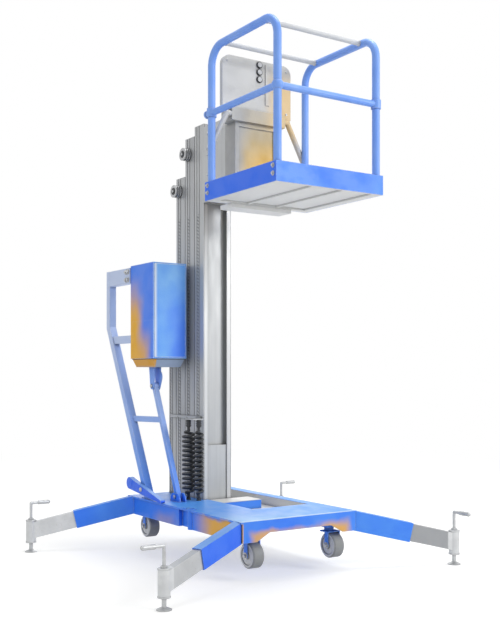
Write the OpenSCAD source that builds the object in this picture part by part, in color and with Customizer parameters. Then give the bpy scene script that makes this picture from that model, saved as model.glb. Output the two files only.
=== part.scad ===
// Push-around mast lift: a wheeled chassis with four outriggers, a four-column
// telescopic mast, a one-person guarded platform and a side-mounted power box.
// Millimetres, +Z up, +X to the operator's right seen from the front, +Y to the rear.
// The origin is on the floor under the middle of the machine.

/* [Chassis] */
// Width of the chassis over its deck
base_w = 740; // [700:5:800]
// Length of the chassis from apron to rear edge
base_l = 1250; // [1250:5:1400]
// Height of the deck's top above the floor
deck_top = 315; // [305:2:325]
// Thickness of the deck plate
deck_t = 10; // [6:1:14]
// Height of the skirt, from its lower edge to the deck's top
skirt_h = 106; // [96:1:107]
// Thickness of the skirt plates
skirt_t = 6; // [4:0.5:8]
// How far the skirt stands in under the deck's edge
deck_lip = 9; // [2:0.5:12]
// Rise of the arch in the front apron
arch_rise = 42; // [20:1:55]
// Width of the level foot of the apron at each corner
arch_foot = 95; // [60:1:110]
// Width of the sloping run at each end of the arch
arch_run = 78; // [40:1:100]
// Deck border on the left of the recess
border_left = 300; // [290:1:310]
// Deck border on the right of the recess
border_right = 65; // [50:1:90]
// Deck border in front of the recess
border_front = 345; // [300:1:380]
// Deck border behind the recess
border_rear = 60; // [50:1:75]
// Depth of the recess below the deck
recess_depth = 55; // [40:1:62]
// Thickness of the recess pan
pan_t = 4; // [2:0.5:6]

/* [Mast] */
// Distance from the apron to the front of the mast
mast_front = 820; // [800:1:830]
// Width of every column
col_w = 188; // [180:1:200]
// Depth of the three moving columns
col_d = 104; // [98:1:106]
// Depth of the fixed rear column
fixed_col_d = 85; // [80:1:85]
// Distance from one column to the next
col_pitch = 110; // [108:1:112]
// Wall thickness of the columns
col_wall = 8; // [6:0.5:9]
// Width of each front flange of a column
flange_w = 30; // [26:1:34]
// Thickness of the front flanges
flange_t = 6; // [5:0.5:8]
// Depth of the front channel behind the flanges
channel_d = 28; // [24:1:30]
// Height of the front column's top above the floor
front_col_top = 2500; // [2485:1:2640]
// Height of the second column's top above the floor
second_col_top = 2448; // [2415:1:2455]
// Height of the third column's top above the floor
third_col_top = 2228; // [2195:1:2235]
// Height of the fixed column's top above the floor
fixed_col_top = 1705; // [1700:1:1710]
// Gap under the moving columns
col_lift = 10; // [6:1:16]
// Running gap round the slide pads
pad_gap = 0.3; // [0.2:0.1:0.6]
// Radius of the chain rollers
roller_r = 37.5; // [34:0.5:38]
// Diameter of the chain roller axles
roller_axle_d = 16; // [12:1:18]
// Height of the upper roller's axle above the floor
upper_roller_z = 2350; // [2335:1:2360]
// Height of the lower roller's axle above the floor
lower_roller_z = 2147; // [2125:1:2165]
// Outer diameter of the lift cylinder
cylinder_d = 32; // [28:1:33]
// Diameter of the lift rod
lift_rod_d = 18; // [14:1:20]
// Stroke of one column on the next
stage_stroke = 1000; // [900:10:1000]

/* [Platform] */
// Width of the platform
plat_w = 670; // [640:2:700]
// Length of the platform
plat_l = 654; // [620:2:700]
// Rear edge of the platform behind the apron's plane
plat_rear = 404; // [395:1:410]
// Height of the platform's underside above the floor
plat_z = 1962; // [1955:1:1975]
// Height of the toe board
toe_h = 99; // [90:1:110]
// Thickness of the toe board
toe_t = 3; // [2:0.5:4]
// Thickness of the platform floor
floor_t = 18; // [14:1:24]
// Depth of the panels pressed up into the underside
floor_recess = 9; // [4:0.5:11]
// Height of the top rail's centre line above the platform's underside
rail_h = 808; // [790:1:830]
// Height of the mid rail above the platform's underside
mid_rail_h = 465; // [440:1:500]
// Diameter of the hoop tubes
tube_d = 40; // [36:1:42]
// Wall thickness of the hoop tubes
tube_wall = 3; // [2:0.5:5]
// Diameter of the mid rail's tube
mid_tube_d = 34; // [28:1:36]
// Diameter of the cross rails at the top
cross_d = 26; // [20:1:30]
// Radius of the hoop's bends
bend_r = 100; // [80:1:110]
// Inset of the hoop's posts from the platform's edge
post_inset = 26; // [25:0.5:32]

/* [Carriage and console] */
// Half width of the console panel
console_half = 226; // [205:1:235]
// Height of the console panel
console_h = 300; // [285:1:310]
// Thickness of the console panel
console_t = 26; // [20:1:32]
// Radius of the console panel's upper corners
console_r = 50; // [30:1:70]
// Half width of the carriage box under the console
box_half = 140; // [130:1:150]
// Depth of the carriage box
box_d = 104; // [90:1:110]
// Half length of the cross bar in front of the carriage box
bar_half = 176; // [165:1:185]
// Height of the cross bar
bar_h = 70; // [64:1:80]
// Half width between the carriage's side plates, outside
carriage_half = 104; // [100:1:106]
// Diameter of the brace tubes
brace_d = 30; // [24:1:32]
// Radius of the console buttons
button_r = 13.5; // [10:0.5:14]
// Distance between the console buttons
button_pitch = 40; // [34:1:44]

/* [Power box and stand] */
// Width of the power box
pbox_w = 220; // [210:1:224]
// Length of the power box
pbox_l = 290; // [270:1:290]
// Height of the power box
pbox_h = 560; // [540:2:570]
// Height of the power box's lower edge above the floor
pbox_z = 1135; // [1130:1:1145]
// Thickness of the power box's sheet
pbox_t = 3; // [2:0.5:4]
// Height of the tapered base under the power box
pbox_base_h = 50; // [40:1:55]
// Width of the stand's square tube
leg_w = 44; // [40:1:46]
// Wall thickness of the stand's tube
leg_wall = 3; // [2:0.5:4]
// Height of the stand above the floor
stand_top = 1685; // [1675:1:1693]
// Height at which the stand's leg turns upright
stand_bend_z = 1335; // [1315:1:1365]
// How far the stand's leg leans back
stand_lean = 520; // [490:1:540]
// Width of the strut's square tube
strut_w = 28; // [24:1:30]
// Diameter of the strut's pins
strut_pin_d = 14; // [10:1:16]

/* [Outriggers] */
// Horizontal reach from the chassis side to the jack's centre
out_reach = 580; // [560:5:640]
// Angle of each outrigger away from square to the side
out_angle = 23; // [18:1:28]
// Slope of the outriggers down to the jacks
out_slope = 13; // [12:0.5:14]
// Outer height of the sleeve
sleeve_h = 104; // [98:1:104]
// Outer width of the sleeve
sleeve_w = 54; // [50:1:58]
// Wall thickness of the sleeve
sleeve_wall = 5; // [4:0.5:6]
// Horizontal length of the sleeve
sleeve_l = 325; // [300:5:340]
// Sleeve's centre behind the front edge, or before the rear edge
sleeve_y = 34; // [32:1:40]
// Gap between beam and sleeve on each side
beam_gap = 0.3; // [0.2:0.1:1.5]
// Length of beam that stays inside the sleeve
beam_in = 115; // [90:5:125]
// Outer diameter of the jack tube
jack_d = 58; // [54:1:62]
// Length of the jack tube
jack_h = 134; // [130:1:140]
// Height of the jack tube's lower end above the floor
jack_z = 54; // [50:1:56]
// Diameter of the jack's foot rod
foot_rod_d = 22; // [20:1:24]
// Diameter of the jack's screw
screw_d = 12; // [10:1:14]
// Diameter of the foot pad
pad_d = 72; // [64:1:80]
// Height of the crank's arm above the floor
crank_z = 286; // [276:1:296]
// Reach of the crank from the jack's centre
crank_reach = 118; // [100:1:130]
// Diameter of the crank's stem and arm
crank_d = 17; // [14:1:19]
// Diameter of the crank's grip
grip_d = 24; // [20:1:28]

/* [Foot lever] */
// Length of the lever behind its pivot
lever_back = 150; // [120:1:170]
// Length of the lever in front of its pivot
lever_front = 236; // [200:1:250]
// Radius of the lever's foot end
lever_r = 34; // [26:1:38]

/* [Casters] */
// Wheel diameter
wheel_d = 132; // [124:1:133]
// Wheel width
wheel_w = 66; // [46:1:72]
// Height of the wheels above the floor while the jacks carry the machine
wheel_lift = 66; // [50:1:67]
// Distance from the swivel's axis to the wheel's axle
caster_trail = 28; // [20:1:34]
// Half distance between the left and right swivels
caster_half = 258; // [240:1:265]
// Distance from the chassis end to the swivels in front
caster_front = 98; // [96:1:110]
// Distance from the chassis end to the swivels behind
caster_rear = 48; // [44:1:60]
// Diameter of the swivel pin
kingpin_d = 20; // [16:1:22]
// Diameter of the wheel axle
axle_d = 12; // [10:1:14]

/* [Curly cords] */
// Diameter of the cord
cord_d = 16; // [10:0.5:17]
// Radius of the rear cord's curls to the cord's centre line
curl_r_rear = 31.5; // [28:0.5:33]
// Radius of the front cord's curls to the cord's centre line
curl_r_front = 22; // [18:0.5:23]
// Number of curls in each cord
curls = 14; // [8:1:15]
// Height of the curled stretch
curl_h = 378; // [360:1:400]

/* [Hidden] */
$fn = 64;

// radial clearance of a pin in its bore, and the gap between faces that pass each other
run_gap = 0.05;
face_gap = 0.3;
eps = 0.01;

paint_blue = "#3f7ff5";
paint_pale = "#a9bfe8";
paint_sky = "#6fa8ff";
mast_grey = "#bdbdbd";
zinc_grey = "#cfcfcf";
floor_grey = "#d2d2d2";
tyre_grey = "#8f9296";
wheel_grey = "#b9bcc0";
amber_tint = "#dcb25a";
dark_grey = "#3a3c40";

half_w = base_w / 2;
skirt_z = deck_top - skirt_h;
pan_top = deck_top - recess_depth;
recess_x0 = -half_w + border_left;
recess_x1 = half_w - border_right;
recess_y0 = border_front;
recess_y1 = base_l - border_rear;

col_half = col_w / 2;
opening_half = col_half - flange_w;
cavity_half = col_half - flange_t;
web_y = flange_t + channel_d;
col_bottom = pan_top + col_lift;
fixed_col_y = mast_front + 3 * col_pitch;
mast_rear = fixed_col_y + fixed_col_d;
well_gap = 4;

plat_half = plat_w / 2;
plat_front = plat_rear - plat_l;
floor_top = plat_z + floor_t;
rail_z = plat_z + rail_h;
mid_rail_z = plat_z + mid_rail_h;
post_x = plat_half - post_inset;
post_y0 = plat_front + post_inset;
post_y1 = plat_rear - post_inset;
mid_rail_x = -post_x - tube_d / 2 + 4;

box_y0 = plat_rear + 6;
box_y1 = box_y0 + box_d;
bar_z = mid_rail_z - 10;
console_z = bar_z + bar_h - 18;
console_top = console_z + console_h;
console_y1 = box_y0 + 20;
console_y0 = console_y1 - console_t;
button_x = 12;
button_z0 = console_top - 24;

pbox_x1 = -130;
pbox_x0 = pbox_x1 - pbox_w;
pbox_y1 = 1250;
pbox_y0 = pbox_y1 - pbox_l;
pbox_base_z = pbox_z - pbox_base_h;

leg_x = -half_w + 35;
leg_y0 = 1032;
leg_y1 = leg_y0 + stand_lean;
foot_plate_t = 6;
lean = atan2(stand_lean, stand_bend_z - deck_top);
strut_x = leg_x + 85;
strut_pin0 = [842, deck_top + 27];
strut_pin1 = [1125, pbox_base_z - 112];
cross_bar_z = 775;

sleeve_z = deck_top - skirt_h / 2 - 3;
jack_axis_z = sleeve_z - out_reach * tan(out_slope);
slope_l = out_reach / cos(out_slope);
beam_h = sleeve_h - 2 * sleeve_wall - 2 * beam_gap;
beam_w = sleeve_w - 2 * sleeve_wall - 2 * beam_gap;
jack_top = jack_z + jack_h;
jack_cap_t = 6;
foot_rod_top = jack_z + 88;
screw_z = jack_z + 6;

wheel_z = wheel_lift + wheel_d / 2;
fork_top = wheel_lift + wheel_d + 9;
crown_t = 6;
bearing_z = skirt_z + 20;
bearing_t = 10;
fork_half = wheel_w / 2 + 3;
fork_t = 5;

pivot_y = leg_y0 + 16;
pivot_z = deck_top + 55;
lever_x1 = leg_x - leg_w / 2 - 1;
lever_t = 28;

coil_rear = [-166, 872];
coil_front = [-139, 800];

// the whole machine is drawn from the apron's plane, then moved so that the box's middle is at Y = 0
front_reach = sleeve_y - out_reach * sin(out_angle) - crank_reach;
rear_reach = leg_y1 + leg_w / 2;
base_shift = -(front_reach + rear_reach) / 2;

module on_base() {
    translate([0, base_shift, 0]) children();
}

module block(a, b) {
    translate(a) cube(b - a);
}

module rod(a, b, d) {
    v = b - a;
    translate(a) rotate([0, acos(v.z / norm(v)), atan2(v.y, v.x)]) cylinder(h = norm(v), d = d);
}

module rod_x(x0, x1, y, z, d) {
    translate([x0, y, z]) rotate([0, 90, 0]) cylinder(h = x1 - x0, d = d);
}

// draws a Y-Z outline as a slab from x0 to x1
module slab_x(x0, x1) {
    translate([x0, 0, 0]) rotate([90, 0, 90]) linear_extrude(x1 - x0) children();
}

// two circles joined by their outer tangents
module tapered_bar(c1, r1, c2, r2) {
    v = c2 - c1;
    turn = atan2(v.y, v.x);
    side = acos((r1 - r2) / norm(v));
    translate(c1) circle(r1);
    translate(c2) circle(r2);
    polygon([
        c1 + r1 * [cos(turn + side), sin(turn + side)],
        c1 + r1 * [cos(turn - side), sin(turn - side)],
        c2 + r2 * [cos(turn - side), sin(turn - side)],
        c2 + r2 * [cos(turn + side), sin(turn + side)]
    ]);
}

module tube_bend(r, d, turn) {
    rotate_extrude(angle = turn) translate([r, 0]) circle(d = d);
}

module tube_corner(r, d) {
    tube_bend(r, d, 90);
}

/* chassis */

module apron_outline() {
    polygon([
        [-half_w + deck_lip, skirt_z],
        [-half_w + arch_foot, skirt_z],
        [-half_w + arch_foot + arch_run, skirt_z + arch_rise],
        [half_w - arch_foot - arch_run, skirt_z + arch_rise],
        [half_w - arch_foot, skirt_z],
        [half_w - deck_lip, skirt_z],
        [half_w - deck_lip, deck_top - deck_t],
        [-half_w + deck_lip, deck_top - deck_t]
    ]);
}

module side_skirt(s) {
    x0 = half_w - deck_lip - skirt_t;
    x1 = half_w - deck_lip;
    block([s > 0 ? x0 : -x1, skirt_t, skirt_z], [s > 0 ? x1 : -x0, base_l - skirt_t - deck_lip, deck_top - deck_t]);
}

module caster_plate(s, y) {
    x0 = caster_half - 48;
    x1 = half_w - deck_lip - skirt_t;
    difference() {
        block([s > 0 ? x0 : -x1, y - 44, bearing_z], [s > 0 ? x1 : -x0, y + 44, bearing_z + bearing_t]);
        translate([s * caster_half, y, bearing_z - 1]) cylinder(h = bearing_t + 2, d = kingpin_d + 2 * run_gap);
    }
}

notch_y0 = 536;
notch_y1 = 640;
notch_d = 34;
socket_y = notch_y0 - 26;
socket_d = 44;

module chassis_frame() {
    color(paint_blue) on_base() {
        difference() {
            union() {
                block([-half_w, 0, deck_top - deck_t], [half_w, base_l, deck_top]);
                translate([0, skirt_t, 0]) rotate([90, 0, 0]) linear_extrude(skirt_t) apron_outline();
                side_skirt(-1);
                side_skirt(1);
                block(
                    [-half_w + deck_lip, base_l - skirt_t - deck_lip, skirt_z],
                    [half_w - deck_lip, base_l - deck_lip, deck_top - deck_t]
                );
                recess_walls();
                for (s = [-1, 1]) {
                    caster_plate(s, caster_front);
                    caster_plate(s, base_l - caster_rear);
                }
                // pocket walls behind the notch in the left side
                block(
                    [-half_w + deck_lip, notch_y0 - skirt_t, skirt_z],
                    [-half_w + notch_d + skirt_t, notch_y1 + skirt_t, deck_top - deck_t]
                );
                stow_socket();
                strut_foot();
            }
            block([recess_x0, recess_y0, 0], [recess_x1, recess_y1, deck_top + 1]);
            block(
                [-col_half - well_gap, mast_front - well_gap, 0],
                [col_half + well_gap, mast_rear + well_gap, deck_top + 1]
            );
            block([-half_w - 1, notch_y0, skirt_z - 1], [-half_w + notch_d, notch_y1, deck_top - deck_t]);
            translate([-half_w + socket_d / 2 - 6, socket_y, skirt_z - 1]) cylinder(h = skirt_h + 40, d = socket_d - 10);
        }
        rod_x(strut_x - 26, strut_x + 26, strut_pin0.x, strut_pin0.y, strut_pin_d);
    }
}

recess_wall_t = 5;

module recess_walls() {
    z0 = pan_top - pan_t;
    difference() {
        union() {
            block(
                [recess_x0 - recess_wall_t, recess_y0 - recess_wall_t, z0],
                [recess_x1 + recess_wall_t, recess_y1 + recess_wall_t, deck_top - deck_t]
            );
            block(
                [-col_half - well_gap - recess_wall_t, mast_front - well_gap - recess_wall_t, z0],
                [recess_x0 + 1, mast_rear + well_gap, deck_top - deck_t]
            );
        }
        block([recess_x0, recess_y0, 0], [recess_x1, recess_y1, deck_top]);
    }
}

// a round tube on the left side that takes a stowed outrigger's pin
module stow_socket() {
    translate([-half_w + socket_d / 2 - 6, socket_y, skirt_z]) cylinder(h = skirt_h, d = socket_d);
    translate([-half_w + socket_d / 2 - 6, socket_y, deck_top - 2]) cylinder(h = 8, d = socket_d + 8);
    block([-half_w - 2, notch_y0 + 8, deck_top - 4], [-half_w + 24, notch_y0 + 44, deck_top + 7]);
}

strut_cheek_t = 7;

// two cheeks on the deck that carry the strut's lower pin
module strut_foot() {
    for (s = [-1, 1]) {
        x = strut_x + s * (strut_w / 2 + 1 + strut_cheek_t / 2);
        intersection() {
            rod_x(x - strut_cheek_t / 2, x + strut_cheek_t / 2, strut_pin0.x, deck_top, 112);
            block([x - 50, strut_pin0.x - 100, deck_top - 1], [x + 50, strut_pin0.x + 100, deck_top + 48]);
        }
    }
}

module recess_pan() {
    color(zinc_grey) on_base() union() {
        block([recess_x0, recess_y0, pan_top - pan_t], [recess_x1, recess_y1, pan_top]);
        block(
            [-col_half - well_gap, mast_front - well_gap, pan_top - pan_t],
            [recess_x0 + 1, mast_rear + well_gap, pan_top]
        );
        block(
            [recess_x0, recess_y1 - 1, pan_top - pan_t],
            [col_half + well_gap, mast_rear + well_gap, pan_top]
        );
    }
}

block_x1 = 210;
block_y0 = 672;

module mast_base_block() {
    y1 = mast_front - well_gap - 2;
    color(paint_blue) on_base() difference() {
        block([recess_x0 + 0.5, block_y0, pan_top], [block_x1, y1, deck_top - 6]);
        block([recess_x0 + 5, block_y0 + 5, pan_top - 1], [block_x1 - 5, y1 - 5, deck_top - 11]);
    }
}

/* outriggers */

function corner_turn(sx, sy) = (sx > 0 ? 0 : 180) + (sx * sy > 0 ? out_angle : -out_angle);
function corner_y(sy) = sy < 0 ? sleeve_y : base_l - sleeve_y;

// outward along +X from the middle of the sleeve's root
module at_corner(sx, sy) {
    translate([sx * half_w, corner_y(sy), 0]) rotate([0, 0, corner_turn(sx, sy)]) children();
}

module sloped() {
    translate([0, 0, sleeve_z]) rotate([0, out_slope, 0]) children();
}

module outrigger_sleeve(sx, sy) {
    sl = sleeve_l / cos(out_slope);
    color(sx * sy > 0 ? paint_blue : paint_sky) on_base() difference() {
        at_corner(sx, sy) sloped() difference() {
            block([-60, -sleeve_w / 2, -sleeve_h / 2], [sl, sleeve_w / 2, sleeve_h / 2]);
            block(
                [-70, -sleeve_w / 2 + sleeve_wall, -sleeve_h / 2 + sleeve_wall],
                [sl + 1, sleeve_w / 2 - sleeve_wall, sleeve_h / 2 - sleeve_wall]
            );
        }
        block([-half_w + deck_lip, -200, 0], [half_w - deck_lip, base_l + 200, deck_top - deck_t]);
        block([-half_w, -200, deck_top - deck_t], [half_w, base_l + 200, deck_top + 100]);
    }
}

module outrigger_beam(sx, sy) {
    s0 = (sleeve_l - beam_in) / cos(out_slope);
    wall = 4;
    color(zinc_grey) on_base() at_corner(sx, sy) difference() {
        union() {
            sloped() difference() {
                block([s0, -beam_w / 2, -beam_h / 2], [slope_l, beam_w / 2, beam_h / 2]);
                block(
                    [s0 - 1, -beam_w / 2 + wall, -beam_h / 2 + wall],
                    [slope_l - 50, beam_w / 2 - wall, beam_h / 2 - wall]
                );
            }
            translate([out_reach, 0, jack_z]) cylinder(h = jack_h, d = jack_d);
        }
        translate([out_reach, 0, jack_z - 60]) cylinder(h = 60, d = jack_d + 30);
        translate([out_reach + jack_d / 2 - 0.5, -60, 0]) cube([80, 120, 400]);
        translate([out_reach, 0, jack_z - 1])
            cylinder(h = jack_h - jack_cap_t + 1, d = foot_rod_d + 2 * run_gap);
        translate([out_reach, 0, jack_top - jack_cap_t - 1])
            cylinder(h = jack_cap_t + 2, d = screw_d + 2 * run_gap);
    }
}

pad_rim = 4;
pad_h = 13;

module jack_foot(sx, sy) {
    color(zinc_grey) on_base() at_corner(sx, sy) translate([out_reach, 0, 0]) difference() {
        union() {
            cylinder(h = pad_rim, d = pad_d);
            translate([0, 0, pad_rim]) cylinder(h = pad_h - pad_rim, d1 = pad_d, d2 = foot_rod_d + 8);
            cylinder(h = foot_rod_top, d = foot_rod_d);
        }
        translate([0, 0, pad_h + 8]) cylinder(h = foot_rod_top, d = screw_d + 2 * run_gap);
    }
}

// direction of each crank at rest
function crank_turn(sx, sy) = sy < 0 ? (sx < 0 ? 180 : -90) : 0;

module jack_crank(sx, sy) {
    collar_h = 9;
    z0 = jack_top + face_gap;
    grip_l = crank_reach * 0.62;
    color(zinc_grey) on_base() {
        translate([sx * half_w, corner_y(sy), 0]) rotate([0, 0, corner_turn(sx, sy)])
            translate([out_reach, 0, 0]) rotate([0, 0, crank_turn(sx, sy) - corner_turn(sx, sy)]) {
                translate([0, 0, screw_z]) cylinder(h = z0 - screw_z + 1, d = screw_d);
                translate([0, 0, z0]) cylinder(h = collar_h, d = 32);
                translate([0, 0, z0]) cylinder(h = crank_z - z0, d = crank_d);
                translate([0, 0, crank_z]) sphere(d = crank_d);
                rod([0, 0, crank_z], [crank_reach - grip_d / 2, 0, crank_z], crank_d);
                rod([crank_reach - grip_l, 0, crank_z], [crank_reach - grip_d / 2, 0, crank_z], grip_d);
                translate([crank_reach - grip_d / 2, 0, crank_z]) sphere(d = grip_d);
            }
    }
}

/* casters */

module at_caster(sx, sy) {
    translate([sx * caster_half, sy < 0 ? caster_front : base_l - caster_rear, 0]) children();
}

module caster_fork(sx, sy) {
    leg_half = 15;
    color(paint_blue) on_base() at_caster(sx, sy) {
        translate([0, 0, fork_top]) cylinder(h = bearing_z - fork_top - face_gap, d = 52);
        cylinder_z = fork_top - 1;
        translate([0, 0, cylinder_z]) cylinder(h = bearing_z + bearing_t + 8 - cylinder_z, d = kingpin_d);
        translate([0, 0, bearing_z + bearing_t + face_gap]) cylinder(h = 7, d = 30, $fn = 6);
        // crown and two legs, with the axle through them
        block(
            [-fork_half - fork_t, -caster_trail - leg_half, fork_top - crown_t],
            [fork_half + fork_t, 27, fork_top]
        );
        for (s = [-1, 1]) {
            x = s * (fork_half + fork_t / 2);
            slab_x(x - fork_t / 2, x + fork_t / 2) {
                translate([-caster_trail, wheel_z]) circle(r = leg_half);
                translate([-caster_trail - leg_half, wheel_z]) square([2 * leg_half, fork_top - crown_t / 2 - wheel_z]);
            }
        }
        rod_x(-fork_half - fork_t - 5, fork_half + fork_t + 5, -caster_trail, wheel_z, axle_d);
    }
}

module caster_wheel(sx, sy) {
    groove = 5;
    color(wheel_grey) on_base() at_caster(sx, sy) translate([0, -caster_trail, wheel_z]) rotate([0, 90, 0])
        rotate_extrude($fn = 96) polygon([
            [axle_d / 2 + run_gap, -wheel_w / 2 - 2],
            [17, -wheel_w / 2 - 2],
            [19, -wheel_w / 2 + 5],
            [wheel_d / 2 - 20, -wheel_w / 2 + 6],
            [wheel_d / 2 - 17, -wheel_w / 2],
            [wheel_d / 2 - 6, -wheel_w / 2],
            [wheel_d / 2, -wheel_w / 2 + 6],
            [wheel_d / 2, wheel_w / 2 - 6],
            [wheel_d / 2 - 6, wheel_w / 2],
            [wheel_d / 2 - 17, wheel_w / 2],
            [wheel_d / 2 - 20, wheel_w / 2 - 6],
            [19, wheel_w / 2 - 5],
            [17, wheel_w / 2 + 2],
            [axle_d / 2 + run_gap, wheel_w / 2 + 2]
        ]);
}

/* mast */

// a column's section: front channel between two flanges, web, and a closed box behind
module column_section(depth) {
    groove = 3;
    difference() {
        translate([-col_half, 0]) square([col_w, depth]);
        translate([-opening_half, -1]) square([2 * opening_half, flange_t + 2]);
        translate([-cavity_half, flange_t]) square([2 * cavity_half, channel_d]);
        for (s = [-1, 1], y = [depth * 0.46, depth * 0.72])
            translate([s * col_half - groove, y]) square([2 * groove, 7]);
    }
}

module column(y, depth, z0, z1) {
    cap_t = 6;
    translate([0, y, z0]) difference() {
        linear_extrude(z1 - z0) column_section(depth);
        translate([-col_half + col_wall + 3, web_y + col_wall, -1])
            cube([col_w - 2 * col_wall - 6, depth - web_y - 2 * col_wall, z1 - z0 - cap_t + 1]);
    }
}

// slide shoes on a piece's rear face at y, running in the channel that starts at y1
module slide_shoe(y, y1, z0, z1) {
    block([-opening_half + pad_gap, y, z0], [opening_half - pad_gap, y1 + flange_t + pad_gap, z1]);
    block(
        [-cavity_half + pad_gap, y1 + flange_t + pad_gap, z0],
        [cavity_half - pad_gap, y1 + web_y - pad_gap, z1]
    );
}

module column_shoes(y) {
    slide_shoe(y + col_d, y + col_pitch, col_bottom + 5, col_bottom + 165);
    slide_shoe(y + col_d, y + col_pitch, col_bottom + 290, col_bottom + 390);
}

// distance of a roller's axle behind a column's front face, in the middle of the column's closed box
axle_back = (web_y + col_d) / 2;

module axle_bore(y, z) {
    rod_x(-col_half - 1, col_half + 1, y + axle_back, z, roller_axle_d + 2 * run_gap);
}

module mast_column_fixed() {
    color(mast_grey) on_base() {
        difference() {
            column(fixed_col_y, fixed_col_d, pan_top, fixed_col_top);
            translate([0, cyl_y, fixed_col_top - 20]) cylinder(h = 30, d = lift_rod_d + 2 * run_gap);
        }
        // two arms that carry the power box on the fixed column
        for (z = [pbox_z + 60, pbox_z + pbox_h - 110])
            block([pbox_x1, fixed_col_y + 14, z], [-col_half, fixed_col_y + 54, z + 50]);
    }
}

crosshead_z = fixed_col_top + 8;

module mast_column_third() {
    y = mast_front + 2 * col_pitch;
    color(mast_grey) on_base() {
        difference() {
            column(y, col_d, col_bottom, third_col_top);
            axle_bore(y, lower_roller_z);
        }
        column_shoes(y);
        block([-32, y + col_d, crosshead_z], [32, fixed_col_y + fixed_col_d - 8, crosshead_z + 16]);
    }
}

module mast_column_second() {
    y = mast_front + col_pitch;
    color(mast_grey) on_base() {
        difference() {
            column(y, col_d, col_bottom, second_col_top);
            axle_bore(y, upper_roller_z);
        }
        column_shoes(y);
    }
}

stop_top = 628;

module mast_column_front() {
    y = mast_front;
    color(mast_grey) on_base() {
        column(y, col_d, col_bottom, front_col_top);
        column_shoes(y);
        // stop plate behind the flanges at the foot of the channel
        block([-cavity_half, y + flange_t, col_bottom + 10], [cavity_half, y + flange_t + 7, stop_top]);
    }
}

// an axle through the column's closed box, with a roller of three discs outside each of its sides
module chain_roller(y, z) {
    groove = 5;
    disc = 9;
    drum_l = 3 * disc + 2 * groove;
    inner = col_half + 4;
    color(mast_grey) on_base() {
        rod_x(-inner - drum_l - 4, inner + drum_l + 4, y + axle_back, z, roller_axle_d);
        for (s = [-1, 1]) {
            x0 = s > 0 ? inner : -inner - drum_l;
            rod_x(x0, x0 + drum_l, y + axle_back, z, 2 * roller_r - 14);
            for (n = [0:2])
                rod_x(x0 + n * (disc + groove), x0 + n * (disc + groove) + disc, y + axle_back, z, 2 * roller_r);
        }
    }
}

module chain_roller_upper() {
    chain_roller(mast_front + col_pitch, upper_roller_z);
}

module chain_roller_lower() {
    chain_roller(mast_front + 2 * col_pitch, lower_roller_z);
}

cyl_y = fixed_col_y + (web_y + col_wall + fixed_col_d - col_wall) / 2;

module lift_cylinder() {
    color(dark_grey) on_base() translate([0, cyl_y, 0]) difference() {
        union() {
            translate([0, 0, pan_top]) cylinder(h = fixed_col_top - 60 - pan_top, d = cylinder_d);
            translate([-30, -15, pan_top]) cube([60, 30, 14]);
        }
        translate([0, 0, pan_top + 30]) cylinder(h = fixed_col_top, d = lift_rod_d + 2 * run_gap);
    }
}

module lift_rod() {
    color(zinc_grey) on_base() translate([0, cyl_y, pan_top + 60])
        cylinder(h = crosshead_z - pan_top - 60, d = lift_rod_d);
}

/* stand, strut and power box */

// the leg's outline in the Y-Z plane, drawn at half width h and shortened at both ends
module leg_outline(h, cut) {
    foot = deck_top + foot_plate_t + cut;
    y_foot = leg_y0 + (foot - deck_top) * tan(lean);
    fold = h * tan(lean / 2);
    polygon([
        [y_foot - h / cos(lean), foot],
        [leg_y1 - h, stand_bend_z + fold],
        [leg_y1 - h, stand_top - cut],
        [leg_y1 + h, stand_top - cut],
        [leg_y1 + h, stand_bend_z - fold],
        [y_foot + h / cos(lean), foot]
    ]);
}

stand_arm_h = 94;
lower_bar_z = 1231;
lower_bar_h = 46;

module stand_frame() {
    x0 = leg_x - leg_w / 2;
    x1 = leg_x + leg_w / 2;
    leg_cross_y = leg_y0 + (cross_bar_z - deck_top) * tan(lean);
    strut_v = strut_pin1 - strut_pin0;
    strut_cross_y = strut_pin0.x + (cross_bar_z - strut_pin0.y) * strut_v.x / strut_v.y;
    pin_bore = strut_pin_d + 2 * run_gap;
    color(paint_pale) on_base() {
        difference() {
            union() {
                slab_x(x0, x1) leg_outline(leg_w / 2, 0);
                block([x0 + 0.5, pbox_y1, stand_top - stand_arm_h], [x1 - 0.5, leg_y1, stand_top - 0.5]);
                block([leg_x - 15, pbox_y1, lower_bar_z], [leg_x + 15, leg_y1 - 40, lower_bar_z + lower_bar_h]);
                block([x0 - 0, leg_y0 - 50, deck_top], [x1 + 12, leg_y0 + 60, deck_top + foot_plate_t]);
                // the lever's pivot, welded into the leg
                rod_x(lever_x1 - lever_t - 6, leg_x, pivot_y, pivot_z, 14);
                // cross bar to the strut
                translate([leg_x, leg_cross_y, cross_bar_z])
                    rotate([0, 0, atan2(strut_cross_y - leg_cross_y, strut_x - leg_x)])
                        translate([0, -9, -17])
                            cube([norm([strut_x - leg_x, strut_cross_y - leg_cross_y]), 18, 34]);
                // strut with an eye at each end
                slab_x(strut_x - strut_w / 2, strut_x + strut_w / 2) {
                    tapered_bar(strut_pin0, strut_w / 2, strut_pin1, strut_w / 2);
                    translate(strut_pin0) circle(r = strut_w / 2 + 2);
                    translate(strut_pin1) circle(r = strut_w / 2 + 7);
                }
            }
            difference() {
                slab_x(x0 + leg_wall, x1 - leg_wall) leg_outline(leg_w / 2 - leg_wall, 12);
                rod_x(leg_x - 60, leg_x + 2, pivot_y, pivot_z, 14);
            }
            rod_x(strut_x - 40, strut_x + 40, strut_pin0.x, strut_pin0.y, pin_bore);
            rod_x(strut_x - 40, strut_x + 40, strut_pin1.x, strut_pin1.y, pin_bore);
        }
    }
}

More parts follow.
